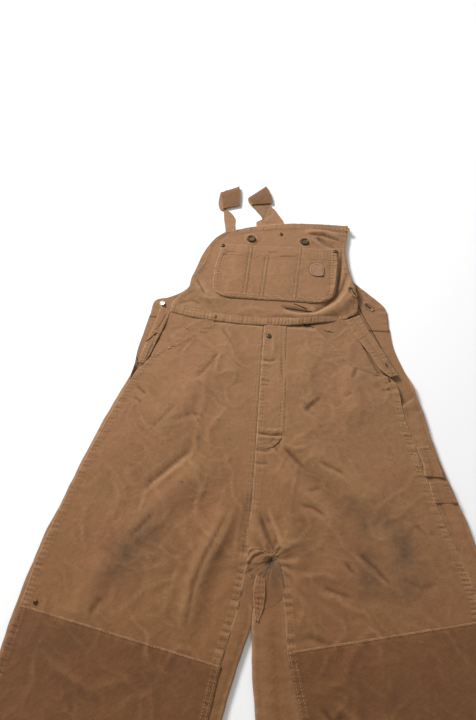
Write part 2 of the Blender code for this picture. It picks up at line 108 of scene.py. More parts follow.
INNER_CURL = {"left": (-32.0, -74.0), "right": (-44.0, -84.0)}

BIB = [((-188, 384.5), (142, 391.5)), ((-185, 403), (163, 404)), ((-175, 421), (167, 421)),
       ((-161, 438), (166, 442)), ((-158, 464), (160, 470)), ((-151, 492), (154, 497)),
       ((-144, 524), (149, 528)), ((-131, 556), (147, 558)), ((-119, 576), (150, 590)),
       ((-105, 589), (154, 627))]
POCKET_ROWS = (2, 7)
POCKET_LOW, POCKET_WIDE, POCKET_TOP = (-80, 84), (-115, 128), (-107, 130)
BUTTONS = ((-47, 575), (63, 575))
POCKET_RIVETS = ((-104, 552), (126, 553))
TAB_AT, TAB_TALL = (88, 502), 1.1
FLY_X, FLY_LOW, FLY_HIGH = -8.8, 122.4, 364.0
BACK_BIB = [((-226, 378), (223, 378)), ((-220, 409), (218, 424)), ((-199, 416), (196, 448)),
            ((-165, 440), (172, 471)), ((-150, 490), (152, 492)), ((-136, 530), (143, 531)),
            ((-112, 574), (116, 574)), ((-96, 600), (92, 600))]
FACING = {
    "left": [((-100, 366), (-104, 355)), ((-128, 370), (-132, 325)), ((-158, 375), (-172, 297)),
             ((-186, 379), (-211, 273))],
    "right": [((76, 369), (84, 352)), ((100, 377), (110, 322)), ((121, 387), (137, 292)),
              ((143, 393), (200, 270))],
}
BAND = {
    "left": [((-189, 381), (-207, 393)), ((-197, 345), (-213, 350)), ((-206, 310), (-221, 312)),
             ((-213, 283), (-226, 284)), ((-221, 266), (-229, 267))],
    "right": [((146, 388), (169, 400)), ((165, 350), (185, 364)), ((186, 318), (207, 325)),
              ((206, 284), (224, 289)), ((220, 273), (231, 276))],
}
LOOP = [((249, 147), (268, 151)), ((255, 122), (282, 120)), ((257, 100), (287, 100))]
TOOL = [((262, 92), (292, 95)), ((264, 76), (297, 78)), ((267, 60), (303, 62))]
STRAPS = {
    "left": [(-94.5, 572, 2.9, 18, 0), (-94.5, 600, 2.9, 18, 0), (-97.5, 624, 1.3, 23, -10),
             (-101.5, 650, 0.9, 31, -33), (-117, 667, 0.9, 12, 6), (-112, 688, 0.9, 32, 14),
             (-107.5, 708, 0.9, 43, 24), (-106, 720, 1.9, 47, 29), (-105, 723.5, 3.6, 47, 30),
             (-104.5, 720, 5.3, 46, 29), (-103, 712, 6.2, 45, 26), (-100.5, 697, 5.6, 43, 22),
             (-98.5, 681, 4.6, 41, 20), (-97, 668, 3.6, 39, 19)],
    "right": [(-5, 582, 2.9, 64, 0), (-4.5, 604, 2.9, 67, 3), (-12, 635, 1.3, 56, 9),
              (-11.5, 648, 0.9, 37, 26), (-28, 674, 0.9, 36, 22), (-41, 700, 0.9, 46, 36),
              (-44, 716, 1.9, 54, 46), (-43.5, 720.5, 3.6, 55, 48), (-42.5, 717, 5.3, 54, 46),
              (-39, 709, 6.3, 52, 40), (-34.5, 698, 5.6, 49, 26), (-32, 690, 4.8, 48, 16),
              (-31, 683, 3.8, 46.5, 8)],
}

# The large folds, as on the CAD solids: line, half width, height
FOLDS = [
    ([(-44, 30), (-58, -9), (-72, -42), (-86, -80), (-92, -150)], 17, 9.0),
    ([(-22, 20), (-36, -25), (-54, -70), (-62, -120)], 13, -2.0),
    ([(-100, 128), (-130, 98), (-185, 38)], 15, -2.2),
    ([(-84, 105), (-120, 62), (-165, 8), (-205, -52)], 24, 6.3),
    ([(-104, 255), (-135, 205), (-190, 150)], 26, 5.4),
    ([(-86, 350), (-70, 305), (-52, 240)], 20, 3.9),
    ([(-205, 222), (-180, 196), (-150, 186)], 14, -1.8),
    ([(-210, -50), (-232, -100), (-250, -150)], 22, 4.8),
    ([(-12, 60), (-14, 0), (-17, -44)], 9, -2.4),
    ([(10, 30), (24, -10), (38, -44)], 10, -2.8),
    ([(36, 20), (50, -30), (66, -90), (84, -140)], 20, 7.5),
    ([(30, 136), (69, 99), (101, 71), (136, 38), (170, 12)], 17, -2.6),
    ([(48, 150), (95, 112), (140, 80), (196, 44)], 24, 6.9),
    ([(22, 100), (60, 64), (96, 36), (120, 0)], 20, 5.1),
    ([(110, 236), (68, 190)], 14, -2.0),
    ([(150, 292), (142, 240), (160, 180)], 20, 5.1),
    ([(190, 262), (205, 244), (224, 232)], 12, -2.0),
    ([(170, 20), (200, -30), (232, -70)], 24, 5.7),
    ([(92, -64), (150, -78), (210, -74)], 14, -2.2),
    ([(60, 330), (70, 290), (58, 240)], 18, 3.6),
    ([(-70, -330), (-170, -352), (-262, -338)], 22, 5.4),
    ([(-120, -440), (-210, -420), (-330, -448)], 20, -2.0),
    ([(-160, -500), (-240, -560), (-250, -680)], 26, 6.0),
    ([(-225, -660), (-300, -700), (-372, -690)], 20, 4.2),
    ([(100, -320), (190, -348), (300, -330)], 22, 5.4),
    ([(130, -450), (230, -426), (330, -440)], 20, -2.0),
    ([(180, -500), (250, -570), (262, -690)], 26, 6.0),
    ([(235, -650), (300, -700), (365, -684)], 20, 4.2),
]
BIB_FOLDS = [
    ([(22, 408), (57, 401), (84, 402), (106, 418), (124, 438), (140, 468)], 8, -2.2),
    ([(50, 386), (96, 396), (132, 414), (158, 448), (158, 488)], 12, 6.0),
    ([(62, 604), (100, 600), (140, 588)], 10, 4.5),
    ([(88, 586), (112, 576), (146, 566)], 9, -1.6),
    ([(-150, 452), (-120, 428), (-90, 400)], 13, 3.0),
    ([(-60, 560), (-70, 500), (-60, 440)], 18, 1.8),
    ([(20, 545), (26, 490), (20, 430)], 18, 1.6),
]
# Sharper creases that lie on them
CREASES = [
    ([(-42, 30), (-57, -9), (-71, -42), (-83, -78), (-88, -140)], 6, -1.7),
    ([(-34, 24), (-46, -12), (-60, -46)], 5, 0.9),
    ([(-117, 113), (-148, 80), (-178, 48)], 5, -1.6),
    ([(-112, 104), (-140, 74), (-168, 44)], 5, 1.0),
    ([(-155, 13), (-186, -29)], 5, -1.2),
    ([(-208, -107), (-222, -130)], 5, -1.3),
    ([(-86, 301), (-104, 269), (-124, 240)], 6, -1.0),
    ([(-87, 352), (-76, 336), (-64, 316)], 5, -1.2),
    ([(-80, 352), (-66, 330)], 4, 0.8),
    ([(-223, 222), (-202, 207)], 4, -1.5),
    ([(-223, 200), (-206, 190)], 4, -1.1),
    ([(-143, 200), (-186, 140)], 8, -1.1),
    ([(-150, 160), (-120, 178), (-96, 172)], 7, -0.9),
    ([(-60, 196), (-90, 150), (-84, 116)], 7, 0.9),
    ([(-230, 60), (-212, 30), (-220, -10)], 8, 0.9),
    ([(-10, 58), (-13, 0), (-17, -46)], 5, -2.4),
    ([(-22, 40), (-27, -10), (-30, -50)], 5, 1.1),
    ([(5, 20), (20, -13), (33, -40)], 5, -3.2),
    ([(16, 34), (30, 0), (44, -34)], 5, 1.6),
    ([(96, 226), (68, 196)], 4, -1.5),
    ([(90, 228), (62, 200)], 4, 0.8),
    ([(135, 227), (150, 236)], 4, -0.9),
    ([(159, 287), (153, 270), (148, 262)], 4, -1.5),
    ([(185, 272), (222, 281)], 3.5, -1.4),
    ([(206, 257), (222, 268)], 3.5, -1.7),
    ([(198, 246), (224, 248)], 4, -1.1),
    ([(38, 129), (54, 114), (69, 99)], 6, -1.8),
    ([(28, 122), (22, 128)], 4, -1.2),
    ([(91, 110), (112, 103), (136, 92)], 6, -1.4),
    ([(40, 134), (58, 128), (74, 132)], 6, 0.8),
    ([(64, 41), (84, 38), (104, 27)], 5, -1.5),
    ([(76, 62), (94, 70)], 4, -1.0),
    ([(129, -34), (143, -49)], 4, -1.2),
    ([(150, -22), (176, -40), (192, -60)], 5, -1.4),
    ([(98, -70), (138, -80)], 5, -1.3),
    ([(64, -60), (100, -52), (124, -60)], 8, 1.2),
    ([(60, -130), (72, -100), (66, -80)], 6, 1.0),
    ([(62, -140), (80, -132), (110, -138)], 5, -1.1),
    ([(210, -50), (236, -60), (262, -52)], 7, -1.0),
    ([(230, 30), (252, 12), (268, 18)], 6, -0.9),
    ([(-262, -190), (-200, -212), (-150, -198)], 10, 1.2),
    ([(-290, -300), (-230, -286), (-160, -310)], 9, -1.4),
    ([(-110, -380), (-180, -396), (-270, -372)], 8, -1.5),
    ([(-150, -520), (-230, -505), (-330, -530)], 9, -1.3),
    ([(-200, -700), (-250, -650), (-262, -600)], 8, -1.1),
    ([(110, -200), (150, -224), (196, -210)], 9, 1.1),
    ([(96, -208), (110, -222), (126, -214)], 5, -1.5),
    ([(130, -300), (210, -288), (300, -310)], 9, -1.4),
    ([(140, -390), (230, -372), (320, -396)], 8, -1.5),
    ([(180, -520), (270, -500), (340, -520)], 9, -1.3),
    ([(230, -700), (262, -650), (258, -600)], 8, -1.1),
]
FLY_CREASES = [
    ([(-8, 290), (6, 288), (18, 292)], 3, -1.7), ([(-8, 284), (8, 281)], 3, 1.0),
    ([(-9, 249), (10, 247)], 3, -1.3), ([(-9, 240), (8, 240)], 3, -0.9),
    ([(-9, 151), (16, 149), (42, 152)], 2.6, -2.4), ([(-9, 145), (34, 146)], 3.4, 1.2),
    ([(-9, 158), (34, 158)], 3.4, 0.9),
    ([(-8, 123), (8, 122), (18, 127)], 3, -2.0), ([(-8, 101), (14, 102)], 3, -1.6),
    ([(-8, 95), (10, 95)], 3, 0.9), ([(28, 300), (30, 240)], 4, -0.8), ([(10, 340), (12, 300)], 5, 0.7),
]
BIB_CREASES = [
    ([(24, 409), (40, 402), (57, 400), (80, 400)], 3.2, -2.6),
    ([(60, 396), (84, 400), (104, 416), (120, 432), (137, 460), (147, 494)], 3.6, -3.0),
    ([(30, 399), (52, 392), (80, 392)], 5, 1.8),
    ([(110, 408), (130, 425), (146, 452), (156, 486)], 5.5, 2.2),
    ([(69, 598), (84, 599), (100, 597), (136, 585)], 3.4, -2.6),
    ([(88, 592), (97, 582), (107, 573), (118, 569)], 3.4, -2.4),
    ([(84, 603), (110, 606), (144, 600)], 5, 1.8),
    ([(74, 588), (88, 578), (100, 566)], 5, 1.3),
    ([(-146, 460), (-136, 442), (-126, 424)], 4, -1.6),
    ([(-132, 420), (-112, 414), (-96, 419)], 5, 1.2),
    ([(-104, 520), (-92, 535), (-70, 534)], 4, -0.8),
    ([(-152, 470), (-138, 500), (-128, 540)], 5, 0.9),
    ([(-60, 392), (-30, 402), (-2, 396)], 7, 0.9), ([(-176, 400), (-150, 410), (-128, 402)], 5, -1.0),
    ([(0, 384), (30, 387), (56, 384)], 3, -1.2),
    ([(132, 541), (128, 511), (123, 468), (118, 432)], 6, 2.4),
    ([(139, 560), (137, 516), (131, 473), (122, 432)], 4, -2.8),
    ([(28, 407), (53, 405), (81, 402)], 4, -2.6), ([(70, 598), (102, 596), (137, 584)], 4, -2.2),
    ([(92, 592), (111, 571), (128, 565)], 4, -2.4),
]


def catmull(points, at):
    """Points at station numbers `at` of a smooth line through the stations."""
    pts = np.array(points, float)
    k = np.clip(at.astype(int), 0, len(pts) - 2)
    f = (at - k)[:, None]
    seg = np.diff(pts, axis=0)
    length = np.linalg.norm(seg, axis=1)
    slope = np.empty_like(pts)
    slope[0], slope[-1] = seg[0] / length[0], seg[-1] / length[-1]
    lb, la = length[:-1, None], length[1:, None]
    slope[1:-1] = (seg[:-1] / lb * la + seg[1:] / la * lb) / (la + lb)
    a, b, span = pts[k], pts[k + 1], length[k][:, None]
    h = f * f * (3 - 2 * f)
    leave = slope[k] * span * (f ** 3 - 2 * f * f + f)
    arrive = slope[k + 1] * span * (f ** 3 - f * f)
    return a * (1 - h) + b * h + leave + arrive


def edges_at(stations, at):
    """Inner and outer edge points of a cut at those station numbers."""
    return tuple(catmull([s[k] for s in stations], at) for k in (0, 1))


def run_along(points):
    """Distance along a line of points, from 0 at the first."""
    return np.concatenate(([0], np.cumsum(np.linalg.norm(np.diff(points, axis=0), axis=1))))


def across(inner, outer, t):
    """Plan of the points at fractions t of the way from the inner edge to the outer one."""
    return [inner[:, None, k] + (outer - inner)[:, None, k] * t for k in (0, 1)]


def bell(d, width, centre=0.0):
    """1 at the centre, fading out over about twice the width."""
    return np.exp(-((d - centre) / width) ** 2)


def placed(name, data):
    """A new object holding that data, in the scene."""
    ob = bpy.data.objects.new(name, data)
    bpy.context.scene.collection.objects.link(ob)
    return ob


def row_stops(stations, spacing, first=0, last=None):
    """Station numbers of evenly spaced rows."""
    last = len(stations) - 1 if last is None else last
    fine = np.linspace(first, last, 60 * (last - first) + 1)
    mid = sum(edges_at(stations, fine)) / 2
    run = run_along(mid)
    n = max(2, int(round(run[-1] / spacing)))
    return np.interp(np.linspace(0, run[-1], n + 1), run, fine)


def line_field(x, y, line):
    """Distance to a line of points, and how far along it the nearest point is, from 0 to 1."""
    pts = np.array(line, float)
    best = np.full(x.shape, 1e9)
    along = np.zeros(x.shape)
    seg = np.linalg.norm(np.diff(pts, axis=0), axis=1)
    done = 0.0
    for a, b, n in zip(pts, pts[1:], seg):
        f = np.clip(((x - a[0]) * (b[0] - a[0]) + (y - a[1]) * (b[1] - a[1])) / n ** 2, 0, 1)
        d = np.hypot(x - a[0] - (b[0] - a[0]) * f, y - a[1] - (b[1] - a[1]) * f)
        near = d < best
        best = np.where(near, d, best)
        along = np.where(near, (done + f * n) / seg.sum(), along)
        done += n
    return best, along


def folds(table, x, y, sharp=False):
    total = np.zeros(x.shape)
    for line, half, height in table:
        pts = np.array(line, float)
        if (x.max() < pts[:, 0].min() - 3 * half or x.min() > pts[:, 0].max() + 3 * half
                or y.max() < pts[:, 1].min() - 3 * half or y.min() > pts[:, 1].max() + 3 * half):
            continue
        d, along = line_field(x, y, line)
        ends = np.minimum(1.0, np.minimum(4 * along + 0.15, 4 * (1 - along) + 0.15))
        shape = 1.3 * np.exp(-np.abs(1.25 * d / half) ** 1.4) if sharp else bell(d, half)
        total += height * ends * shape
    return total


def noise(x, y, size, seed):
    """Gradient noise from about -1 to 1, with features of that size."""
    angle = np.random.default_rng(seed).random((64, 64)) * 2 * np.pi
    gx, gy = np.cos(angle), np.sin(angle)
    u, v = np.asarray(x) / size + 640.0, np.asarray(y) / size + 640.0
    i, j = np.floor(u).astype(int), np.floor(v).astype(int)
    fu, fv = u - i, v - j
    su, sv = fu ** 3 * (fu * (6 * fu - 15) + 10), fv ** 3 * (fv * (6 * fv - 15) + 10)

    def corner(a, b):
        p, q = (i + a) % 64, (j + b) % 64
        return gx[p, q] * (fu - a) + gy[p, q] * (fv - b)

    low = corner(0, 0) * (1 - su) + corner(1, 0) * su
    high = corner(0, 1) * (1 - su) + corner(1, 1) * su
    return 1.45 * (low * (1 - sv) + high * sv)


def wrinkles(x, y, seed, strength=1.0):
    """Fine crumples of stiff washed cloth: thin bent ridges in every direction and soft swells."""
    wx = x + 14 * noise(x, y, 60, seed) + 5 * noise(x, y, 22, seed + 1)
    wy = y + 14 * noise(x, y, 60, seed + 2) + 5 * noise(x, y, 22, seed + 3)
    z = 1.5 * noise(x, y, 95, seed + 4) + 0.75 * noise(wx, wy, 46, seed + 5)
    for size, height, turn in ((58, 1.15, 0.5), (40, 0.8, -0.7), (26, 0.45, 1.2), (15, 0.2, 0.1)):
        c, s = math.cos(turn), math.sin(turn)
        a, b = wx * c + wy * s, -wx * s + wy * c
        n = noise(a, b * 0.55, size, seed + int(size))
        mask = np.clip(0.55 + 0.9 * noise(x, y, size * 2.4, seed + int(size) + 9), 0, 1)
        z += height * mask * (1 - np.minimum(1, np.abs(n) * 3.2)) ** 2
    return strength * z


def smooth(a):
    return np.clip(a, 0, 1) ** 2 * (3 - 2 * np.clip(a, 0, 1))


def rungs(along, seed, pitch=6.6):
    """Short pinched ticks across a shrunk seam, from 0 to 1, uneven in place and depth."""
    phase = along / pitch + 0.45 * noise(along, along * 0 + seed * 3.1, 31.0, seed + 40)
    deep = np.clip(0.62 + 0.7 * noise(along, along * 0 + seed * 1.7, 19.0, seed + 41), 0.12, 1.1)
    return deep * bell((phase - np.round(phase)) * pitch, 1.35)


def hem(d, along, seed, width=11.0, rise=0.6, rows=(2.6, 8.6), pucker=0.55):
    """A turned or felled edge: raised band, stitched rows pressed in, puckers across it."""
    band = rise * smooth((width + 2.5 - d) / 3.0) * smooth((d + 0.6) / 1.6)
    groove = sum(-0.42 * bell(d - r, 1.0) for r in rows)
    step = noise(along, along * 0 + seed * 7.3, 7.5, seed) + 0.6 * noise(along, d * 0.4, 13.0, seed + 1)
    drag = pucker * step * bell(np.maximum(d - 4, 0), 11.0)
    tick = -1.7 * pucker * rungs(along, seed) * smooth((width + 3.0 - d) / 4.0) * smooth((d - 0.4) / 1.6)
    return band + groove + drag + tick


OBJECTS = {}


def shell(name, points, values, wall=SKIN, lined=False):
    """A thin cloth shell from a grid of surface points in millimetres, with its named point values."""
    nr, nc = points.shape[:2]
    flat = points.reshape(-1, 3) * MM + SHIFT
    idx = np.arange(nr * nc).reshape(nr, nc)
    a, b, c, d = idx[:-1, :-1], idx[1:, :-1], idx[1:, 1:], idx[:-1, 1:]
    quads = np.stack((a, b, c, d), axis=-1).reshape(-1, 4)
    n = np.cross(flat[quads[:, 1]] - flat[quads[:, 0]], flat[quads[:, 3]] - flat[quads[:, 0]])
    if n[:, 2].sum() < 0:
        quads = quads[:, ::-1]
    mesh = bpy.data.meshes.new(name)
    mesh.vertices.add(len(flat))
    mesh.vertices.foreach_set("co", flat.ravel())
    mesh.loops.add(quads.size)
    mesh.loops.foreach_set("vertex_index", quads.ravel().astype(np.int32))
    mesh.polygons.add(len(quads))
    mesh.polygons.foreach_set("loop_start", np.arange(0, quads.size, 4, dtype=np.int32))
    mesh.update(calc_edges=True)
    mesh.polygons.foreach_set("use_smooth", np.ones(len(quads), bool))
    for key, value in values.items():
        layer = mesh.attributes.new(key, "FLOAT", "POINT")
        layer.data.foreach_set("value", np.ascontiguousarray(value, dtype=np.float32).ravel())
    ob = placed(name, mesh)
    mod = ob.modifiers.new("wall", "SOLIDIFY")
    mod.thickness = wall * MM
    mod.offset = -1.0
    mod.use_rim = True
    if lined:
        mod.material_offset = 1
    OBJECTS[name] = ob
    return ob


def relief(z, reach=1):
    """How much each point stands above (+) or lies below (-) its surroundings, in mm."""
    blur = z.copy()
    for _ in range(reach * 6):
        pad = np.pad(blur, 1, mode="edge")
        blur = (pad[:-2, 1:-1] + pad[2:, 1:-1] + pad[1:-1, :-2] + pad[1:-1, 2:] + 4 * blur) / 8
    return np.clip((z - blur) / 0.55, -1, 1)


def blot(x, y, spots):
    total = np.zeros(x.shape)
    for cx, cy, rx, ry, turn, strength in spots:
        c, s = math.cos(math.radians(turn)), math.sin(math.radians(turn))
        u, v = ((x - cx) * c + (y - cy) * s) / rx, (-(x - cx) * s + (y - cy) * c) / ry
        total += strength * np.exp(-(u * u + v * v) ** 0.85)
    return total


STAINS = [
    (-182, -38, 17, 34, -32, 0.55), (-172, -12, 13, 18, -30, 0.34), (-196, -72, 16, 22, -28, 0.3),
    (-188, -50, 30, 46, -30, 0.26), (-150, 26, 26, 16, 20, 0.18), (-228, 70, 18, 30, 0, 0.10),
    (148, 40, 12, 12, 60, 0.55), (140, 52, 12, 7, 20, 0.45), (162, 20, 12, 20, 40, 0.45),
    (184, 26, 16, 12, 0, 0.4), (206, 12, 17, 20, 10, 0.5), (216, -14, 16, 30, -8, 0.55),
    (212, -52, 18, 34, 6, 0.5), (162, -34, 16, 34, 4, 0.5), (160, -62, 18, 18, 0, 0.4),
    (190, -30, 40, 60, 0, 0.16), (250, -70, 20, 40, 0, 0.12), (96, 100, 22, 12, 30, 0.1),
    (-146, 470, 26, 26, 0, 0.14), (-132, 420, 16, 12, 0, 0.2), (104, 500, 44, 50, 0, 0.12),
    (-296, -160, 16, 20, 0, 0.22), (-250, -170, 30, 12, 10, 0.2), (120, -240, 30, 16, 20, 0.2),
    (196, -190, 34, 20, 0, 0.22), (-120, -200, 40, 24, 0, 0.12),
]
SPECKS = [(-108, 166, 3), (-74, 169, 3), (17, 15, 3.2), (-104, 135, 2.2), (-120, 60, 2.0),
          (70, 210, 2.2), (130, 150, 2.0), (-160, 190, 2.0), (210, 100, 2.2), (-240, -20, 2.2),
          (96, -20, 2.4), (-50, 260, 1.8)]


def soiling(x, y):
    """Grease on the thighs, small specks, and a general handled greyness."""
    rough = 1 + 0.55 * noise(x, y, 16, 71) + 0.35 * noise(x, y, 6, 72)
    dirt = 0.66 * blot(x, y, STAINS) * np.clip(rough, 0.2, 2)
    for sx, sy, r in SPECKS:
        dirt += 0.75 * np.exp(-(((x - sx) / (0.7 * r)) ** 2 + ((y - sy) / r) ** 2) ** 2)
    return np.clip(dirt, 0, 1)


def attributes(x, y, z, wear, dirt=None):
    # wear value: the given edge wear plus a painted highlight on raised places; hollow value: painted shade in
    # creases and hollows; dirt value: the soiling, or what the caller passes
    lift = relief(z)
    scuff = 1 + 0.7 * noise(x, y, 9, 81) + 0.5 * noise(x, y, 4.5, 82)
    return {"wear": np.clip(0.62 * wear * np.clip(scuff, 0, 2) + 0.34 * np.maximum(lift, 0), 0, 1),
            "hollow": np.clip(-lift, 0, 1), "dirt": soiling(x, y) if dirt is None else dirt}


def front_arrays(side, first=0, last=None, step=STEP, lap=2.6):
    """Dense rows of a leg front: plan, edge distances and height of its top surface."""
    st = FRONT[side]
    at = row_stops(st, step * 0.86, first, last)
    inner, outer = edges_at(st, at)
    width = np.linalg.norm(outer - inner, axis=1)
    nc = int(round(width.max() / (step * 1.06)))
    # the inner seam starts at the crotch, the outer one below the side opening
    below = smooth((at - 7.9) / 0.5) if side == "right" else smooth((at - 7.8) / 0.6)
    seam = smooth((at - 3.8) / 0.4)
    t = np.linspace(0, 1, nc + 1)[None, :]
    t = t - 0.42 * np.sin(2 * math.pi * t) / (2 * math.pi)
    tuck = TUCK * smooth((7.9 - at) / 1.4) * (side == "left")
    lo, hi = -(lap * below + tuck) / width, 1 + lap * seam / width
    t = lo[:, None] + (hi - lo)[:, None] * t
    x, y = across(inner, outer, t)
    run = run_along(outer)
    d_in, d_out = (t - lo[:, None]) * width[:, None], (hi[:, None] - t) * width[:, None]
    z = front_height(x, y, np.clip(t, 0, 1), side)
    return dict(x=x, y=y, z=z, d_in=d_in, d_out=d_out, at=np.repeat(at[:, None], t.shape[1], 1),
                run=np.repeat(run[:, None], t.shape[1], 1))


def front_height(x, y, f, side):
    """Top surface of the leg front without its edges."""
    k = smooth((12 - y) / 50)
    edge = k * np.minimum(1, 0.15 + 5 * np.minimum(f, 1 - f)) + (1 - k) * np.minimum(1, 0.15 + 5 * (1 - f))
    waist = np.clip((366 - y) / 50.0, 0.1, 1)
    big = 0.66 * folds(FOLDS, x, y)
    fine = folds(CREASES, x, y, True) + wrinkles(x, y, 11 if side == "left" else 37, 1.0)
    soft_edge = np.clip(0.35 + 4 * np.minimum(f, 1 - f), 0, 1)
    return LAYER_TOP + 0.4 + np.maximum(big * edge * waist + fine * soft_edge * np.clip(waist, 0.5, 1), -3.4)


def make_front(side):
    g = front_arrays(side)
    x, y, at, run = g["x"], g["y"], g["at"], g["run"]
    seed = 3 if side == "left" else 5
    inner_amount = 0.6 + 0.4 * smooth(-y / 30)
    z = g["z"] + hem(g["d_out"], run, seed, pucker=0.7)
    z += hem(g["d_in"], run, seed + 20, pucker=0.55 + 0.4 * smooth(-y / 40)) * inner_amount
    if side == "right":
        z += folds(FLY_CREASES, x, y, True) * 0.6
    crotch = np.hypot(x - 22, y + 42)
    z += 2.4 * bell(crotch, 44) * noise(np.arctan2(y + 42, x - 22) * 60, crotch * 0.2, 15, 91)
    if side == "left":
        z -= 1.6 * smooth((TUCK + 0.6 - g["d_in"]) / 2.0) * smooth((7.8 - at) / 1.2)
    else:
        z -= 1.0 * smooth((33 - x) / 3) * smooth((y - 126) / 3)
    under = np.clip(1 - run / 6.5, 0, 1)
    y = y + 8.0 * under
    z -= 2.2 * smooth(under * 1.4)
    wear = 0.75 * bell(g["d_out"], 2.2) + 0.65 * bell(g["d_in"], 2.0)
    wear += 0.14 * bell(g["d_out"], 4.5, 6) + 0.10 * bell(g["d_in"], 4.5, 6)
    pts = np.stack((x, y, z), axis=-1)
    return shell("leg_front_" + side, pts, attributes(x, y, z, wear))


def make_patch(side):
    first, last = PATCH[side]
    g = front_arrays(side, first, last, lap=3.4)
    x, y, run = g["x"], g["y"], g["run"]
    seed = 7 if side == "left" else 9
    # distance from the top and lower seams along the leg
    st = FRONT[side]
    top = np.array([st[first][0], st[first][1]], float)
    low = np.array([st[last][0], st[last][1]], float)
    d_top, _ = line_field(x, y, top)
    d_low, _ = line_field(x, y, low)
    across = g["d_in"]
    z = g["z"] + PATCH_RISE + hem(g["d_out"], run, seed) + hem(g["d_in"], run, seed + 20)
    z += hem(d_top, across, seed + 4, width=4, rise=0.25, rows=(2.4,), pucker=0.22)
    z += hem(d_low, across, seed + 6, rise=0.5, rows=(3.0,), pucker=0.3)
    wear = 0.8 * bell(d_top, 1.5) + 0.5 * bell(g["d_out"], 2.2)
    wear += 0.5 * bell(g["d_in"], 2.2) + 0.6 * bell(d_low, 2.0)
    wear += 0.03 * bell(d_top, 5, 7)
    return shell("knee_patch_" + side + "_cloth", np.stack((x, y, z), -1), attributes(x, y, z, wear))


def front_edge(side, which, y):
    """x of a leg front's seam at heights y on the plan."""
    st = FRONT[side]
    at = np.linspace(0, len(st) - 1, 1200)
    line = catmull([s[which] for s in st], at)
    order = np.argsort(line[:, 1])
    return np.interp(y, line[order, 1], line[order, 0])


def make_back(side):
    """Back cloth: flat underneath, turned up round the folded edges and tucked under the seams."""
    rows = BACK[side]
    sign = -1 if side == "left" else 1
    st = [((xo, y), (xi, y)) for y, xo, xi in rows]
    at = row_stops(st, STEP * 1.3)
    outer, inner = edges_at(st, at)
    grid, wear, dist = [], [], []
    arc = math.pi * FOLD_R
    for k in range(len(at)):
        y, xo, xi = outer[k, 1], outer[k, 0], inner[k, 0]
        mid = (xo + xi) / 2
        skew = max(0.0, min(1.0, (-240 - y) / 560)) * 0.18

        def part(fold, which, limits, inward):
            f = min(1.0, max(0.0, (limits[0] - y) / (limits[0] - limits[1])))
            turn = math.pi * f * f * (3 - 2 * f)
            seam = float(front_edge(side, which, y + sign * (fold - mid) * skew))
            full = abs(fold - seam) - FOLD_R + SEAM_REACH
            tail = 1.6 + max(0.0, full - 1.6) * (turn / math.pi) ** 6
            flat = arc + 2.0 + 0.35
            reach = FOLD_R + (flat - FOLD_R) * (1 - turn / math.pi)
            start = fold + inward * reach
            pts = []
            for j in range(11):
                a = turn * j / 10
                if turn > 1e-4:
                    r = arc / turn
                    pts.append((start - inward * r * math.sin(a), r * (1 - math.cos(a)), 0.0))
                else:
                    pts.append((start - inward * arc * j / 10, 0.0, 0.0))
            ex, ez, _ = pts[-1]
            for j in range(1, 15):
                s = j / 14
                tuck = smooth(np.float64((s * tail - (tail - 6.5)) / 3.5)) * (turn / math.pi) ** 6
                rise = min(math.sin(turn) * tail * s, TAIL_RISE)
                pts.append((ex - inward * math.cos(turn) * tail * s,
                            ez + rise - 2.0 * float(tuck), s * tail + 0.01))
            return pts

        a = part(xo, 1, OUTER_CURL, -sign)
        b = part(xi, 0, INNER_CURL[side], sign)
        middle = [(a[0][0] + (b[0][0] - a[0][0]) * j / 12, 0.0, 0.0) for j in range(1, 12)]
        sec = a[::-1] + middle + b
        grid.append([(x, y + sign * (x - mid) * skew, z) for x, z, _ in sec])
        dist.append([s for _, _, s in sec])
    pts, dist = np.array(grid), np.array(dist)
    x, y, z = pts[..., 0], pts[..., 1], pts[..., 2].copy()
    top = smooth((z - 3.4) / 1.6)
    body = wrinkles(x, y, 53 if side == "left" else 59, 0.55) + 0.6 * noise(x * 0.3, y, 10, 61)
    swell = 1.0 * np.sin(np.clip(dist / 26, 0, 1) * math.pi) * smooth(dist / 10)
    calm = smooth((np.hypot(x - 15, y + 72) - 32) / 26)   # flat under the gather at the crotch
    z = np.where(dist > 0, z + calm * top * (0.55 * np.clip(body, -1, 2.2) + swell), z)
    # the folded edge itself waves a little
    edge = smooth((z - 0.6) / 2.0)
    wob = 1.1 * noise(y, y * 0 + 5, 44, 63) + 0.5 * noise(y, y * 0 + 9, 17, 64)
    x = x + np.where(np.abs(x - np.median(x, axis=1)[:, None]) > 60, edge * wob, 0) * sign
    wear = 0.45 * bell(dist, 3.0, 0.5) * (z > 2)
    pts = np.stack((x, y, z), -1)
    values = attributes(x, y, z, wear)
    if side == "right":
        pts, values = pts[:, ::-1], {key: value[:, ::-1] for key, value in values.items()}
    ob = shell("leg_back_" + side, pts, values, wall=0.9)
    ob.modifiers["wall"].offset = 1.0
    return ob


def quad_arrays(st, step, shift=None, grow=(0, 0)):
    """Dense rows of a plain panel: plan, station numbers, and distances from its two edges."""
    at = row_stops(st, step)
    inner, outer = edges_at(st, at)
    width = np.linalg.norm(outer - inner, axis=1)
    nc = max(4, int(round(width.max() / step)))
    t = np.linspace(0, 1, nc + 1)[None, :] * np.ones((len(at), 1))
    t = -grow[0] / width[:, None] + t * (1 + (grow[0] + grow[1]) / width[:, None])
    x, y = across(inner, outer, t)
    at2 = np.repeat(at[:, None], nc + 1, 1)
    if shift is not None:
        y = y + shift(at2, t)
    run = run_along(outer)
    return dict(x=x, y=y, at=at2, d0=(t - t[:, :1]) * width[:, None],
                d1=(t[:, -1:] - t) * width[:, None], run=np.repeat(run[:, None], nc + 1, 1))


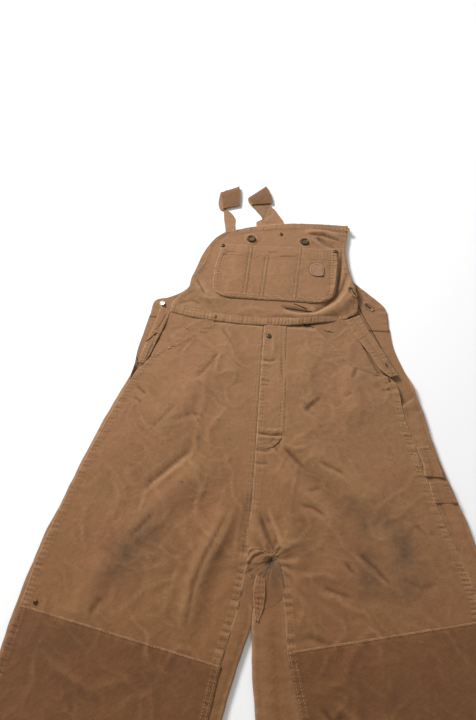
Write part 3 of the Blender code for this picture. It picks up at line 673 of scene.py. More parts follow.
def bib_shift(at, f):
    sag = -21.5 * (1 - (2 * f - 1) ** 2) * np.clip(1 - at / 2.0, 0, 1)
    crown = 17.0 * np.sin(math.pi * np.clip(f, 0, 1) ** 0.85) * np.clip(at - 8.0, 0, 1)
    return sag + crown


def bib_height(x, y):
    fine = folds(BIB_CREASES, x, y, True) + wrinkles(x, y, 23, 0.5)
    return LAYER_TOP + 0.5 + np.maximum(folds(BIB_FOLDS, x, y) + fine, -3.0)


def make_bib():
    g = quad_arrays(BIB, STEP * 0.75, bib_shift)
    x, y = g["x"], g["y"]
    low = np.linalg.norm(np.diff(np.stack((x, y), -1), axis=0), axis=-1)
    up = np.concatenate((np.zeros((1, x.shape[1])), np.cumsum(low, axis=0)))
    down = up[-1:] - up
    z = bib_height(x, y) + hem(g["d0"], g["run"], 13, pucker=0.4) + hem(g["d1"], g["run"], 14, pucker=0.5)
    z += hem(up, g["d0"], 15, width=13, rise=1.1, rows=(2.8, 11.0), pucker=0.5)
    z += hem(down, g["d0"], 16, width=14, rise=0.7, rows=(2.8, 12.0), pucker=0.35)
    y = y - 4.4 * smooth((10 - up) / 10)
    wear = 0.7 * bell(g["d0"], 2.2) + 0.7 * bell(g["d1"], 2.2)
    wear += 0.85 * bell(down, 2.2) + 0.6 * bell(up, 2.0) + 0.08 * bell(up, 5, 7)
    for bx, by in BUTTONS:
        r = np.hypot(x - bx, y - by)
        z += 0.8 * bell(r, 4, 11)
        z = np.where(r < 9.5, np.minimum(z, LAYER_TOP + 0.25), z)
    return shell("bib_cloth", np.stack((x, y, z), -1), attributes(x, y, z, wear))


def pocket_sides(k):
    """x of the pocket's left and right edges at row k: rounded lower corners."""
    turn = 1 - np.sqrt(1 - np.clip(1 - k / 1.9, 0, 1) ** 2)
    up = smooth((k - 2.6) / 2.4)
    return [w + (low - w) * turn + (top - w) * up for low, w, top in zip(POCKET_LOW, POCKET_WIDE, POCKET_TOP)]


def make_pocket():
    at = row_stops(BIB, STEP * 0.75, *POCKET_ROWS)
    inner, outer = edges_at(BIB, at)
    left, right = pocket_sides(at - POCKET_ROWS[0])
    width = outer[:, 0] - inner[:, 0]
    f0, f1 = (left - inner[:, 0]) / width, (right - inner[:, 0]) / width
    nc = int(245 / (STEP * 0.75))
    f = f0[:, None] + (f1 - f0)[:, None] * np.linspace(0, 1, nc + 1)[None, :]
    x, y = across(inner, outer, f)
    y = y + bib_shift(np.repeat(at[:, None], nc + 1, 1), f)
    d0, d1 = x - x[:, :1], x[:, -1:] - x
    run = np.concatenate(([0], np.cumsum(np.abs(np.diff(y[:, nc // 2])))))[:, None] + 0 * x
    up, down = y - y[0:1], y[-1:] - y
    z = bib_height(x, y) + ON_BIB + hem(d0, run, 17, pucker=0.4) + hem(d1, run, 18, rise=1.3, pucker=0.7)
    z += hem(up, d0, 19, rise=0.9, pucker=0.5) + hem(down, d0, 21, width=24, rise=0.35, rows=(), pucker=0.2)
    wear = 0.7 * bell(d0, 2.2) + 0.8 * bell(d1, 2.4) + 0.7 * bell(up, 2.2)
    for line in CHANNELS:
        for off in (-3.2, 3.2):
            d = line_field(x, y, [(px + off, py) for px, py in line])[0]
            z += -0.55 * bell(d, 1.3)
        d = line_field(x, y, line)[0]
        z += 0.55 * bell(d, 2.2) + 0.3 * noise(y, x * 0.2, 6.5, 27) * bell(d, 7)
        z += -0.5 * rungs(y, 71, 6.0) * np.exp(-(d / 5.0) ** 4)
    d = line_field(x, y, POCKET_MOUTH)[0]
    z += 0.3 * smooth((y - 529) / 2.5) * smooth((556 - y) / 10) - 0.2 * bell(d, 1.0, 3.4)
    wear += 0.1 * bell(d, 2.0)
    r = np.hypot(x - TAB_AT[0], (y - TAB_AT[1]) / TAB_TALL)
    z += -0.5 * bell(r, 2.0, 15)
    for rx, ry in POCKET_RIVETS:
        z = np.where(np.hypot(x - rx, y - ry) < 5.5, np.minimum(z, 7.6), z)
    return shell("bib_pocket_cloth", np.stack((x, y, z), -1), attributes(x, y, z, wear))


CHANNELS = [[(-46, 560), (-48, 500), (-51, 432)], [(-12, 529), (-15, 480), (-18, 428)],
            [(54, 560), (50, 500), (45, 428)]]
POCKET_MOUTH = [(-104, 534), (-47, 529), (14, 528), (60, 529), (124, 534)]


def fly_edge(y):
    """x of the placket's free edge, rounded in at its lower end."""
    edge = 33.5 + 2.5 * smooth((330 - y) / 120)
    low = np.clip((166 - y) / 44, 0, 1)
    return -8.6 + (edge + 8.6) * np.sqrt(np.clip(1 - low ** 2.4, 0.0004, 1))


def make_fly():
    """Placket on the right front: straight at the centre seam, rounded at its lower end."""
    ys = np.arange(FLY_HIGH, FLY_LOW, -STEP * 0.7)
    edge = fly_edge(ys)
    n = int(44 / (STEP * 0.6))
    t = np.linspace(0, 1, n + 1)[None, :]
    x = FLY_X + (edge[:, None] - FLY_X) * t
    y = ys[:, None] + 0 * x
    f = np.clip((x - FLY_X) / 240, 0, 1)
    z = front_height(x, y, f, "right") + folds(FLY_CREASES, x, y, True)
    d1 = np.minimum((edge[:, None] - x), (y - 121.5))
    z += 0.15 + 0.35 * smooth(d1 / 2.5) + hem(x - FLY_X, y, 29, width=9, rise=0.5, rows=(2.5, 7.5), pucker=0.4)
    groove = line_field(x, y, FLY_STITCH)[0]
    z += -0.35 * bell(groove, 1.1) - 0.35 * bell(groove, 1.1, 5.5) * (d1 > 5)
    z -= 0.5 * rungs(y, 73) * np.exp(-((groove - 2.7) / 3.4) ** 4)
    wear = 0.8 * bell(x, 2.0, FLY_X) + 0.2 * bell(groove, 3) + 0.12
    z = np.where(np.hypot(x - FLY_STUD[0], y - FLY_STUD[1]) < 5.5, np.minimum(z, 7.9), z)
    return shell("fly_cloth", np.stack((x, y, z), -1), attributes(x, y, z, wear))


FLY_STITCH = [(30.5, 362), (31, 290), (33.5, 200), (33, 166), (28, 145), (16, 130), (-4, 124)]


def make_small(name, st, top, step, seed, rise=0.7, strength=0.4, grow=(0, 0), edges=True, wall=0.9):
    """A small plain panel whose surface lies at the height `top`, a number or a function."""
    g = quad_arrays(st, step, grow=grow)
    x, y = g["x"], g["y"]
    height = top(x, y) if callable(top) else top
    z = height + wrinkles(x, y, seed, strength)
    z = z + noise(x, y, 24, seed + 3) * 0.3
    wear = 0.0 * x
    if edges:
        z = z + hem(g["d0"], g["run"], seed, width=9, rise=rise, rows=(2.4, 7.2), pucker=0.4)
        z = z + hem(g["d1"], g["run"], seed + 1, width=9, rise=rise, rows=(2.4, 7.2), pucker=0.4)
        wear = 0.7 * bell(g["d0"], 2) + 0.7 * bell(g["d1"], 2)
    return shell(name, np.stack((x, y, z), -1), attributes(x, y, z, wear), wall=wall)


def make_back_bib():
    g = quad_arrays(BACK_BIB, STEP)
    x, y = g["x"], g["y"]
    seen = smooth((np.abs(x) - 140) / 20)
    y = y - 9.0 * np.clip(1 - g["at"] / 0.5, 0, 1)
    seen = seen * smooth(g["at"] / 0.7)
    z = 1.3 + 0.35 * np.clip(wrinkles(x, y, 67, 1.0), 0, 3) * seen
    z += hem(g["d0"], g["run"], 31) * seen + hem(g["d1"], g["run"], 33, pucker=1.0) * seen
    z = np.maximum(z, 1.15)
    wear = (0.8 * bell(g["d0"], 2) + 0.9 * bell(g["d1"], 3)) * seen
    return shell("back_bib_cloth", np.stack((x, y, z), -1), attributes(x, y, z, wear))


def make_strap(side):
    st = np.array(STRAPS[side], float)
    mid = st[:, :3]
    n = 90
    seg = run_along(mid)
    at = np.interp(np.linspace(0, seg[-1], n + 1), seg, np.arange(len(st)))
    p = catmull(mid, at)
    width = np.interp(at, np.arange(len(st)), st[:, 3])
    turn = np.radians(np.interp(at, np.arange(len(st)), st[:, 4]))
    t = np.linspace(-0.5, 0.5, 25)[None, :]
    x = p[:, None, 0] + np.cos(turn)[:, None] * width[:, None] * t
    y = p[:, None, 1] + np.sin(turn)[:, None] * width[:, None] * t
    along = np.linspace(0, seg[-1], n + 1)[:, None] + 0 * x
    d = (0.5 - np.abs(t)) * width[:, None]
    tangent = np.gradient(p, axis=0)
    up = np.where(tangent[:, 1] >= 0, 1.0, -1.0)[:, None]
    bump = 0.28 * noise(x, along, 13, 41) - 0.2 * bell(d, 1.4, 3.2) + 0.25 * smooth(d / 1.5)
    z = p[:, None, 2] + up * (0.55 + bump)
    z = np.maximum(z, 1.2)
    wear = 0.8 * bell(d, 2.0) + 0.1
    end = seg[-1] - along
    wear += 0.6 * bell(end, 2.5)
    shade = 0 * x
    if side == "right":
        # a narrow fold turns back on itself just above the bib: painted shade along its creases and in the
        # wedge under it, passed in as the dirt value, with small bumps
        for line in STRAP_FOLD:
            shade += (up > 0) * bell(line_field(x, y, line)[0], 1.8)
        inside = np.minimum((x + 51) * 0.55 - (674 - y) * 0.36, (y - 640) * 0.21 - (x + 26))
        shade += (up > 0) * 0.55 * smooth((inside + 1) / 3) * smooth((678 - y) / 4)
        z = z + (up > 0) * 0.9 * noise(x, y, 11, 45) * np.exp(-np.hypot(x + 14, y - 636) / 18)
    pts = np.stack((x, y, z), -1)
    wear_and_shading = attributes(x, y, z * 0 + 5 + bump, wear, dirt=np.clip(0.6 * shade, 0, 0.7))
    return shell("strap_cloth_" + side, pts, wear_and_shading, wall=1.2, lined=True)


STRAP_FOLD = [[(-53, 678), (-41, 660), (-26, 639)], [(-18, 677), (-26, 639)],
              [(-53, 678), (-36, 681), (-18, 677)], [(-26, 632), (-14, 628), (2, 634)]]


def tab_radius(a):
    """A rounded patch with a flatter left side and a pointed lower right."""
    return 14.6 - 1.4 * bell(a - math.pi, 0.7) + 3.4 * bell(a, 0.33, 5.45)


def make_tab():
    """Blank rounded tab with a rolled rim, worn and lifted at one corner."""
    rings = 12
    a = np.linspace(0, 2 * math.pi, 61)[None, :]
    s = np.linspace(0.02, 1, rings + 1)[:, None]
    r = tab_radius(a) * s
    x, y = TAB_AT[0] + r * np.cos(a), TAB_AT[1] + TAB_TALL * r * np.sin(a)
    z = bib_height(x, y) + ON_BIB + 0.75 + 0.5 * bell(s, 0.07, 0.93) + 0 * a
    z += -0.5 * bell(s, 0.05, 0.8) + 1.3 * smooth((s - 0.6) / 0.4) * bell(a, 0.35, 5.3)
    z += 0.35 * noise(x, y, 8, 44)
    wear = 0.7 * bell(s, 0.06, 0.97) + 0 * a
    return shell("tab_cloth", np.stack((x, y, z), -1), attributes(x, y, z, wear, dirt=0.12 + 0 * x), wall=0.6)


def make_crotch():
    """Gathered cloth where the leg seams meet: flat ridges running into a small hole, darkened with painted
    shade.
    """
    hole_x, hole_y, cx, cy, rx, ry = 25.0, -41.0, 14.0, -62.0, 38.0, 46.0
    a = np.linspace(-math.pi, math.pi, 161)[None, :]
    s = np.linspace(0.02, 1, 34)[:, None]
    x = hole_x + (cx - hole_x) * s + rx * s * np.cos(a)
    y = hole_y + (cy - hole_y) * s + ry * s * np.sin(a)
    ridge = noise(a * 15 + 5 * noise(a * 4, s * 3, 2.0, 48), s * 4 + 3, 4.2, 47)
    fade = 0.15 + 0.85 * smooth((y + 80) / 14)
    z = 7.0 + 1.0 * smooth(s / 0.3) + 2.1 * ridge * s ** 0.5 * (1.2 - s) * fade - 3.6 * bell(s, 0.15)
    d = line_field(x, y, ARCH)[0]
    z += 1.5 * bell(d, 2.3) - 0.8 * bell(d, 1.4, 4.5)
    left, right = front_edge("left", 0, y), front_edge("right", 0, y)
    margin = np.minimum(np.minimum(x - left, right - x), -24.0 - y)
    z -= 3.4 * smooth(0.2 - margin / 3) + 1.7 * smooth((-62 - y) / 36) + 1.4 * smooth((s - 0.9) / 0.1)
    at = attributes(x, y, z, 0.30 * np.clip(ridge, 0, 1) + 0.35 * bell(d, 1.6))
    # painted shade, carried in the dirt value: dark in the hole, down its right side and along the lower
    # outline of the gather, and a little over all of it
    crotch_shade = bell(s, 0.2) + 0.6 * np.exp(-(((x - 28) / 7) ** 2 + ((y + 37) / 4) ** 2))
    crotch_shade += 0.45 * np.exp(-(((x - 32) / 8) ** 2 + ((y + 64) / 18) ** 2))
    crotch_shade += 0.5 * bell(line_field(x, y, [(-8, -50), (-1, -66), (10, -68), (20, -58)])[0], 2.2)
    at["dirt"] = np.clip(at["dirt"] * 0.5 + 0.12 + 0.9 * crotch_shade, 0, 1)
    return shell("crotch_gather", np.stack((x, y, z), -1), at, wall=0.8)


ARCH = [(-9, -44), (-3, -35), (11, -28), (25, -28), (31, -34)]
# the frayed end of the seam below the gather
STRIP = [((4, -62), (17, -66)), ((1, -82), (18, -84)), ((3, -100), (17, -101)), ((6, -118), (11, -120))]


# ---------------------------------------------------------------- materials

def node_tree(name):
    mat = bpy.data.materials.new(name)
    mat.use_nodes = True
    nt = mat.node_tree
    nt.nodes.clear()
    out = nt.nodes.new("ShaderNodeOutputMaterial")
    shader = nt.nodes.new("ShaderNodeBsdfPrincipled")
    nt.links.new(shader.outputs[0], out.inputs[0])
    return mat, nt, shader


def add(nt, kind, **settings):
    node = nt.nodes.new(kind)
    for key, value in settings.items():
        setattr(node, key, value)
    return node


def mix(nt, factor, a, b, blend="MIX"):
    node = add(nt, "ShaderNodeMix", data_type="RGBA", blend_type=blend)
    for socket, value in ((node.inputs[0], factor), (node.inputs[6], a), (node.inputs[7], b)):
        if hasattr(value, "is_linked"):
            nt.links.new(value, socket)
        elif isinstance(value, (int, float)):
            socket.default_value = value
        else:
            socket.default_value = (*value, 1.0)
    return node.outputs[2]


def combine(nt, a, b, operation="MULTIPLY"):
    """A math node over a socket and another socket or a number."""
    node = add(nt, "ShaderNodeMath", operation=operation)
    nt.links.new(a, node.inputs[0])
    if isinstance(b, float):
        node.inputs[1].default_value = b
    else:
        nt.links.new(b, node.inputs[1])
    return node.outputs[0]


def bump_node(nt, height, strength, distance, below=None):
    node = add(nt, "ShaderNodeBump")
    node.inputs["Strength"].default_value = strength
    node.inputs["Distance"].default_value = distance
    nt.links.new(height, node.inputs["Height"])
    if below is not None:
        nt.links.new(below, node.inputs["Normal"])
    return node.outputs[0]


def plain_material(name, colour, roughness):
    mat, _, shader = node_tree(name)
    shader.inputs["Base Color"].default_value = (*colour, 1)
    shader.inputs["Roughness"].default_value = roughness
    return mat


def texture_noise(nt, coord, scale, detail=4.0, rough=0.6):
    node = add(nt, "ShaderNodeTexNoise")
    node.inputs["Scale"].default_value = scale
    node.inputs["Detail"].default_value = detail
    node.inputs["Roughness"].default_value = rough
    nt.links.new(coord, node.inputs["Vector"])
    return node.outputs["Fac"]


def ramp(nt, value, low, high, lo=0.0, hi=1.0):
    node = add(nt, "ShaderNodeMapRange")
    node.inputs["From Min"].default_value, node.inputs["From Max"].default_value = low, high
    node.inputs["To Min"].default_value, node.inputs["To Max"].default_value = lo, hi
    nt.links.new(value, node.inputs["Value"])
    return node.outputs["Result"]


FADE_AND_SHADE_SPAN, FADE_AND_SHADE = (240.0, -170.0), (0.80, 0.70, 0.56)   # the cloth darkens from bib to knee, partly its own fading and partly painted shade for the light falling off
# colour of grease stains, also used for the painted shade at the crotch and straps
GREASE_AND_SHADE = (0.052, 0.036, 0.022)
GRAIN, HOLLOW_SHADE = 0.34, 0.72        # how far the weave, and the painted shade in the hollows, go towards the deep colour
WEAVE_SCALE = 260.0


def cloth(name, base, deep, pale):
    """Washed cotton duck: plain weave grain, blotchy dye, darker towards the knee partly from fading and
    partly as painted shade, pale rims that are partly wear and partly painted highlight, painted shade in the
    hollows, grease stains and painted shade at the crotch and straps.
    """
    mat, nt, shader = node_tree(name)
    geo = add(nt, "ShaderNodeTexCoord").outputs["Object"]

    def attribute(key):
        return add(nt, "ShaderNodeAttribute", attribute_name=key).outputs["Fac"]

    blotch = ramp(nt, texture_noise(nt, geo, 22.0, 6.0, 0.66), 0.3, 0.72)
    cloud = ramp(nt, texture_noise(nt, geo, 11.0, 3.0), 0.35, 0.68)
    split = add(nt, "ShaderNodeSeparateXYZ")
    nt.links.new(geo, split.inputs[0])
    # darker towards the knee: partly the cloth's own fading, partly painted shade for the light falling off
    fade_and_shade_low, fade_and_shade_high = (FADE_AND_SHADE_SPAN[k] * MM + SHIFT[1] for k in (1, 0))
    down = ramp(nt, split.outputs["Y"], fade_and_shade_low, fade_and_shade_high, 1.0, 0.0)
    grain = ramp(nt, texture_noise(nt, geo, 620.0, 2.0), 0.3, 0.7)
    slub = ramp(nt, texture_noise(nt, geo, 140.0, 3.0), 0.3, 0.75)
    colour = mix(nt, down, base, tuple(c * f for c, f in zip(base, FADE_AND_SHADE)))
    colour = mix(nt, blotch, colour, (0.86, 0.85, 0.80), "MULTIPLY")
    colour = mix(nt, cloud, colour, (1.08, 1.0, 1.10), "MULTIPLY")
    colour = mix(nt, combine(nt, grain, GRAIN), colour, deep)
    # painted shade in the creases and hollows
    colour = mix(nt, combine(nt, attribute("hollow"), HOLLOW_SHADE), colour, deep)
    # pale rims: partly wear, partly a painted highlight on raised places
    wear_and_shading = combine(nt, attribute("wear"), ramp(nt, slub, 0.0, 1.0, 0.45, 0.85))
    colour = mix(nt, wear_and_shading, colour, pale)
    # grease stains, and painted shade at the crotch and along the strap folds
    soiled_and_shaded = combine(nt, attribute("dirt"), ramp(nt, blotch, 0.0, 1.0, 0.6, 0.95))
    nt.links.new(mix(nt, soiled_and_shaded, colour, GREASE_AND_SHADE), shader.inputs["Base Color"])
    shader.inputs["Roughness"].default_value = 0.93
    shader.inputs["Specular IOR Level"].default_value = 0.22
    shader.inputs["Sheen Weight"].default_value = 0.12
    shader.inputs["Sheen Roughness"].default_value = 0.6
    # the weave: two crossed waves, broken up, with slubs, over small crumples
    waves = []
    for axis in ("X", "Y"):
        wave = add(nt, "ShaderNodeTexWave", wave_type="BANDS", bands_direction=axis)
        wave.inputs["Scale"].default_value = WEAVE_SCALE
        wave.inputs["Distortion"].default_value = 1.6
        wave.inputs["Detail"].default_value = 1.0
        nt.links.new(geo, wave.inputs["Vector"])
        waves.append(wave.outputs["Fac"])
    weave = combine(nt, combine(nt, *waves), slub, "ADD")
    crumple = bump_node(nt, texture_noise(nt, geo, 75.0, 4.0, 0.55), 0.6, 0.002)
    nt.links.new(bump_node(nt, weave, 0.55, 0.0007, crumple), shader.inputs["Normal"])
    return mat


def metal(name, colour, dark, rough, tarnish):
    mat, nt, shader = node_tree(name)
    geo = add(nt, "ShaderNodeTexCoord").outputs["Object"]
    spots = ramp(nt, texture_noise(nt, geo, 420.0, 5.0, 0.7), 0.5 - tarnish / 2, 0.9 - tarnish / 2)
    nt.links.new(mix(nt, spots, colour, dark), shader.inputs["Base Color"])
    nt.links.new(ramp(nt, spots, 0, 1, rough, min(1, rough + 0.35)), shader.inputs["Roughness"])
    shader.inputs["Metallic"].default_value = 0.9
    nt.links.new(bump_node(nt, spots, 0.3, 0.0003), shader.inputs["Normal"])
    return mat


def thread_material():
    mat, nt, shader = node_tree("worn_thread")
    geo = add(nt, "ShaderNodeTexCoord").outputs["Object"]
    var = ramp(nt, texture_noise(nt, geo, 60.0, 3.0), 0.35, 0.7)
    nt.links.new(mix(nt, var, (0.38, 0.21, 0.10), (0.21, 0.11, 0.048)), shader.inputs["Base Color"])
    shader.inputs["Roughness"].default_value = 0.8
    return mat


DUCK = cloth("washed_duck", (0.312, 0.162, 0.070), (0.105, 0.042, 0.013), (0.50, 0.30, 0.155))
KNEE = cloth("knee_duck_cloth", (0.222, 0.103, 0.037), (0.07, 0.028, 0.009), (0.42, 0.23, 0.11))
INNER = cloth("inner_face", (0.186, 0.084, 0.030), (0.08, 0.035, 0.012), (0.40, 0.24, 0.12))
TAB = cloth("tab_cloth_worn", (0.36, 0.20, 0.105), (0.16, 0.08, 0.035), (0.5, 0.32, 0.19))
BRASS = metal("tarnished_brass", (0.30, 0.20, 0.10), (0.035, 0.025, 0.018), 0.42, 0.55)
KNOB = metal("clean_brass", (0.62, 0.45, 0.20), (0.25, 0.17, 0.07), 0.3, 0.2)
STEEL = metal("bright_metal", (0.86, 0.84, 0.80), (0.45, 0.44, 0.42), 0.22, 0.1)
THREAD = thread_material()


def give(ob, *mats, slot="faded_duck"):
    ob.data.materials.clear()
    for m in mats:
        ob.data.materials.append(m)
    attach(ob, "root")


def facing_height(x, y):
    return 4.9 + 1.0 * smooth((y - 340) / 30) + 0 * x


def strip_height(x, y):
    return 6.5 + 2.0 * smooth((y + 112) / 34)


def stand_for(ob, node, *mats, slot="faded_duck"):
    """Dress a piece and let it replace its CAD node."""
    give(ob, *mats, slot=slot)
    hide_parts(node)


for side, seed in (("left", 4), ("right", 6)):
    for make, node, mat, slot in ((make_front, "front_", DUCK, "faded_duck"),
                                  (make_back, "back_", DUCK, "faded_duck"),
                                  (make_patch, "knee_patch_", KNEE, "knee_duck")):
        stand_for(make(side), node + side, mat, slot=slot)
    stand_for(make_strap(side), "strap_" + side, DUCK, INNER)
    stand_for(make_small("hand_pocket_facing_" + side, FACING[side], facing_height, STEP, 200 + seed,
                         edges=False, strength=0.75), "pocket_facing_" + side, DUCK)
    stand_for(make_small("side_band_cloth_" + side, BAND[side], LAYER_TOP + 0.3, STEP * 0.7, 210 + seed,
                         strength=0.3, grow=(BAND_TUCK, 0)), "side_band_" + side, DUCK)
stand_for(make_bib(), "bib_front", DUCK)
stand_for(make_pocket(), "bib_pocket", DUCK)
stand_for(make_fly(), "fly_placket", DUCK)
stand_for(make_back_bib(), "back_bib", DUCK)
stand_for(make_tab(), "blank_tab", TAB)
stand_for(make_small("hammer_loop_cloth", LOOP, LAYER_TOP + 1.9, STEP * 0.6, 230, wall=1.2),
          "hammer_loop", DUCK)
stand_for(make_small("tool_pocket_cloth", TOOL, LAYER_TOP + 1.6, STEP * 0.6, 233), "tool_pocket", DUCK)
give(make_crotch(), DUCK)
give(make_small("crotch_seam_end", STRIP, strip_height, STEP * 0.5, 251, rise=0.25, strength=0.5, wall=0.8),
     DUCK)

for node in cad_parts:
    if "button" in node or "rivet" in node or node == "corner_stud":
        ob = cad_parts[node]
        ob.data.materials.clear()
        ob.data.materials.append(STEEL if node == "side_button" else KNOB if node == "corner_stud" else BRASS)


# ---------------------------------------------------------------- stitches and threads

def top_of(*names):
    """Function giving the height of the highest of these cloths over points of the plan, in mm."""
    trees = []
    for name in names:
        mesh = OBJECTS[name].data
        co = np.empty(len(mesh.vertices) * 3)
        mesh.vertices.foreach_get("co", co)
        faces = [tuple(p.vertices) for p in mesh.polygons]
        trees.append(BVHTree.FromPolygons([Vector(c) for c in co.reshape(-1, 3)], faces))

    def height(x, y):
        start = Vector((x * MM + SHIFT[0], y * MM + SHIFT[1], 0.2))
        hits = [t.ray_cast(start, Vector((0, 0, -1)))[0] for t in trees]
        hits = [h.z / MM for h in hits if h is not None]
        return max(hits) if hits else None

    return height


def offset_line(line, by):
    """The same line moved sideways by that many millimetres, to the left of its direction."""
    p = np.array(line, float)
    t = np.gradient(p, axis=0)
    n = np.stack((-t[:, 1], t[:, 0]), -1) / np.linalg.norm(t, axis=1)[:, None]
    return p + by * n


def resample(line, spacing):
    p = np.array(line, float)
    run = run_along(p)
    at = np.arange(spacing / 2, run[-1], spacing)
    return np.stack([np.interp(at, run, p[:, k]) for k in range(p.shape[1])], -1)


def smooth_line(points, spacing=4.0):
    """A finely sampled smooth line through a few points."""
    n = len(points)
    fine = catmull(points, np.linspace(0, n - 1, 24 * (n - 1) + 1)) if n > 2 else np.array(points, float)
    return resample(fine, spacing)


def directions(points):
    """Unit tangent at each point of a line."""
    t = np.gradient(points, axis=0)
    return t / np.maximum(np.linalg.norm(t, axis=1), 1e-6)[:, None]


def tube_mesh(paths, radius, sides):
    """One mesh holding a thin round-ended tube along each path of points, in millimetres."""
    verts, faces = [], []
    for path in paths:
        p = np.array(path, float)
        t = directions(p)
        side = np.cross(t, (0, 0, 1.0))
        side /= np.maximum(np.linalg.norm(side, axis=1), 1e-6)[:, None]
        up = np.cross(side, t)
        base = len(verts)
        n = len(p)
        for k in range(n):
            r = radius * (0.62 if k in (0, n - 1) else 1.0)
            for j in range(sides):
                a = 2 * math.pi * j / sides
                verts.append(p[k] + r * (math.cos(a) * side[k] + math.sin(a) * up[k]))
        for k in range(n - 1):
            for j in range(sides):
                a, b = base + k * sides + j, base + k * sides + (j + 1) % sides
                faces.append((a, b, b + sides, a + sides))
        faces.append(tuple(base + j for j in range(sides)))
        faces.append(tuple(base + (n - 1) * sides + j for j in reversed(range(sides))))
    return np.array(verts) * MM + SHIFT, faces


def thread_piece(name, paths, radius, mat=None, sides=5):
    verts, faces = tube_mesh(paths, radius, sides)
    mesh = bpy.data.meshes.new(name)
    mesh.from_pydata(verts.tolist(), [], faces)
    bm = bmesh.new()
    bm.from_mesh(mesh)
    bmesh.ops.recalc_face_normals(bm, faces=bm.faces)
    bm.to_mesh(mesh)
    bm.free()
    mesh.shade_smooth()
    ob = placed(name, mesh)
    ob.data.materials.append(mat or THREAD)
    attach(ob, "root")


def stitch_row(line, height, rng, length=2.5, pitch=3.6, missing=0.06, lift=0.12):
    """Short sunk stitches following a line over the cloth."""
    p = resample(line, pitch)
    out = []
    for (x, y), (tx, ty) in zip(p, directions(p)):
        gap = rng.random() < missing
        jitter = rng.normal(0, 0.16)
        if gap:
            continue
        pts = []
        for s in (-0.5, -0.17, 0.17, 0.5):
            px, py = x + tx * s * length - ty * jitter, y + ty * s * length + tx * jitter
            z = height(px, py)
            if z is None:
                break
            pts.append((px, py, z + lift - (0.2 if abs(s) == 0.5 else 0.0)))
        if len(pts) == 4:
            out.append(pts)
    return out


def edge_line(side, which, inset, first, last=None):
    """A line inside a leg front's edge, from one station to another."""
    st = FRONT[side]
    lines = edges_at(st, np.linspace(first, len(st) - 1 if last is None else last, 220))
    line, other = lines[which], lines[1 - which]
    gap = other - line
    return line + inset * gap / np.linalg.norm(gap, axis=1)[:, None]


def make_stitches():
    rng = np.random.default_rng(17)
    legs = {"left": top_of("leg_front_left", "knee_patch_left_cloth"),
            "right": top_of("leg_front_right", "knee_patch_right_cloth", "fly_cloth")}
    bib = top_of("bib_cloth", "bib_pocket_cloth")
    for side, height in legs.items():
        rows = []
        for inset in (0.2, 6.2):
            rows.append(edge_line(side, 1, inset, 4.3))
            rows.append(edge_line(side, 0, inset, 8.4 if side == "left" else 9.2))
            rows.append(edge_line(side, 1, inset, 0.05, 3.9))
        rows.append(edge_line(side, 0, 3.0, 0.1, 7.9))
        first, last = PATCH[side]
        # one row below the patch's top seam, and one above its lower seam
        for station, inset in ((first, 2.2), (last, -3.0)):
            a, b = (np.array(p, float) for p in FRONT[side][station])
            t = (b - a) / np.linalg.norm(b - a)
            n = np.array((t[1], -t[0])) * (1 if t[0] > 0 else -1)
            rows.append(np.linspace(a, b, 40) + n * inset)
        if side == "right":
            rows.append(smooth_line(FLY_STITCH))
            rows.append(smooth_line([(x - 5.5, y + (5.0 if y < 150 else 0.0)) for x, y in FLY_STITCH[:-1]]))
        stitches = []
        for row in rows:
            stitches += stitch_row(row, height, rng)
        thread_piece("leg_stitching_" + side, stitches, 0.42)
    rows = []
    left, right, low, top = (smooth_line(line) for line in bib_outline())
    for line, insets in ((left, (3.0, 8.6)), (right, (3.0, 8.6)), (top, (3.0, 14.0)), (low, (3.2, 11.2))):
        for inset in insets:
            rows.append(offset_line(line, inset))
    for line in CHANNELS:
        rows += [offset_line(smooth_line(line), d) for d in (-3.2, 3.2)]
    rows.append(offset_line(smooth_line(POCKET_MOUTH), -3.4))
    rows += pocket_outline()
    stitches = []
    for row in rows:
        stitches += stitch_row(row, bib, rng, pitch=3.3, length=2.3)
    thread_piece("bib_stitching", stitches, 0.40)
    tab = top_of("tab_cloth")
    a = np.linspace(0, 2 * math.pi, 90)
    r = 0.8 * tab_radius(a)
    ring = np.stack((TAB_AT[0] + r * np.cos(a), TAB_AT[1] + TAB_TALL * r * np.sin(a)), -1)
    thread_piece("tab_stitching", stitch_row(ring, tab, rng, pitch=2.2, length=1.5), 0.3)


def bib_outline():
    """Left, right, lower and upper edges, each run so that the cloth is on its left."""
    at = np.linspace(0, len(BIB) - 1, 14)
    lo, hi = edges_at(BIB, at)
    f = np.linspace(0, 1, 12)
    edges = []
    for end in (0, -1):
        line = lo[end] + (hi[end] - lo[end]) * f[:, None]
        line[:, 1] += bib_shift(np.full(12, at[end]), f)
        edges.append(line)
    return lo[::-1], hi, edges[0], edges[1][::-1]


def pocket_outline():
    at = row_stops(BIB, 8.0, *POCKET_ROWS)
    left, right = pocket_sides(at - POCKET_ROWS[0])
    inner, outer = edges_at(BIB, at)
    rows = []
    for edge, sign in ((left, 1), (right, -1)):
        f = (edge - inner[:, 0]) / (outer[:, 0] - inner[:, 0])
        y = inner[:, 1] + (outer[:, 1] - inner[:, 1]) * f + bib_shift(at, f)
        for inset in (3.0, 8.2):
            rows.append(np.stack((edge + sign * inset, y), -1))
    f = np.linspace((left[0] - inner[0, 0]) / (outer[0, 0] - inner[0, 0]),
                    (right[0] - inner[0, 0]) / (outer[0, 0] - inner[0, 0]), 30)
    y = inner[0, 1] + (outer[0, 1] - inner[0, 1]) * f + bib_shift(np.full(30, at[0]), f)
    x = inner[0, 0] + (outer[0, 0] - inner[0, 0]) * f
    rows += [np.stack((x, y + inset), -1) for inset in (3.2, 8.4)]
    return rows


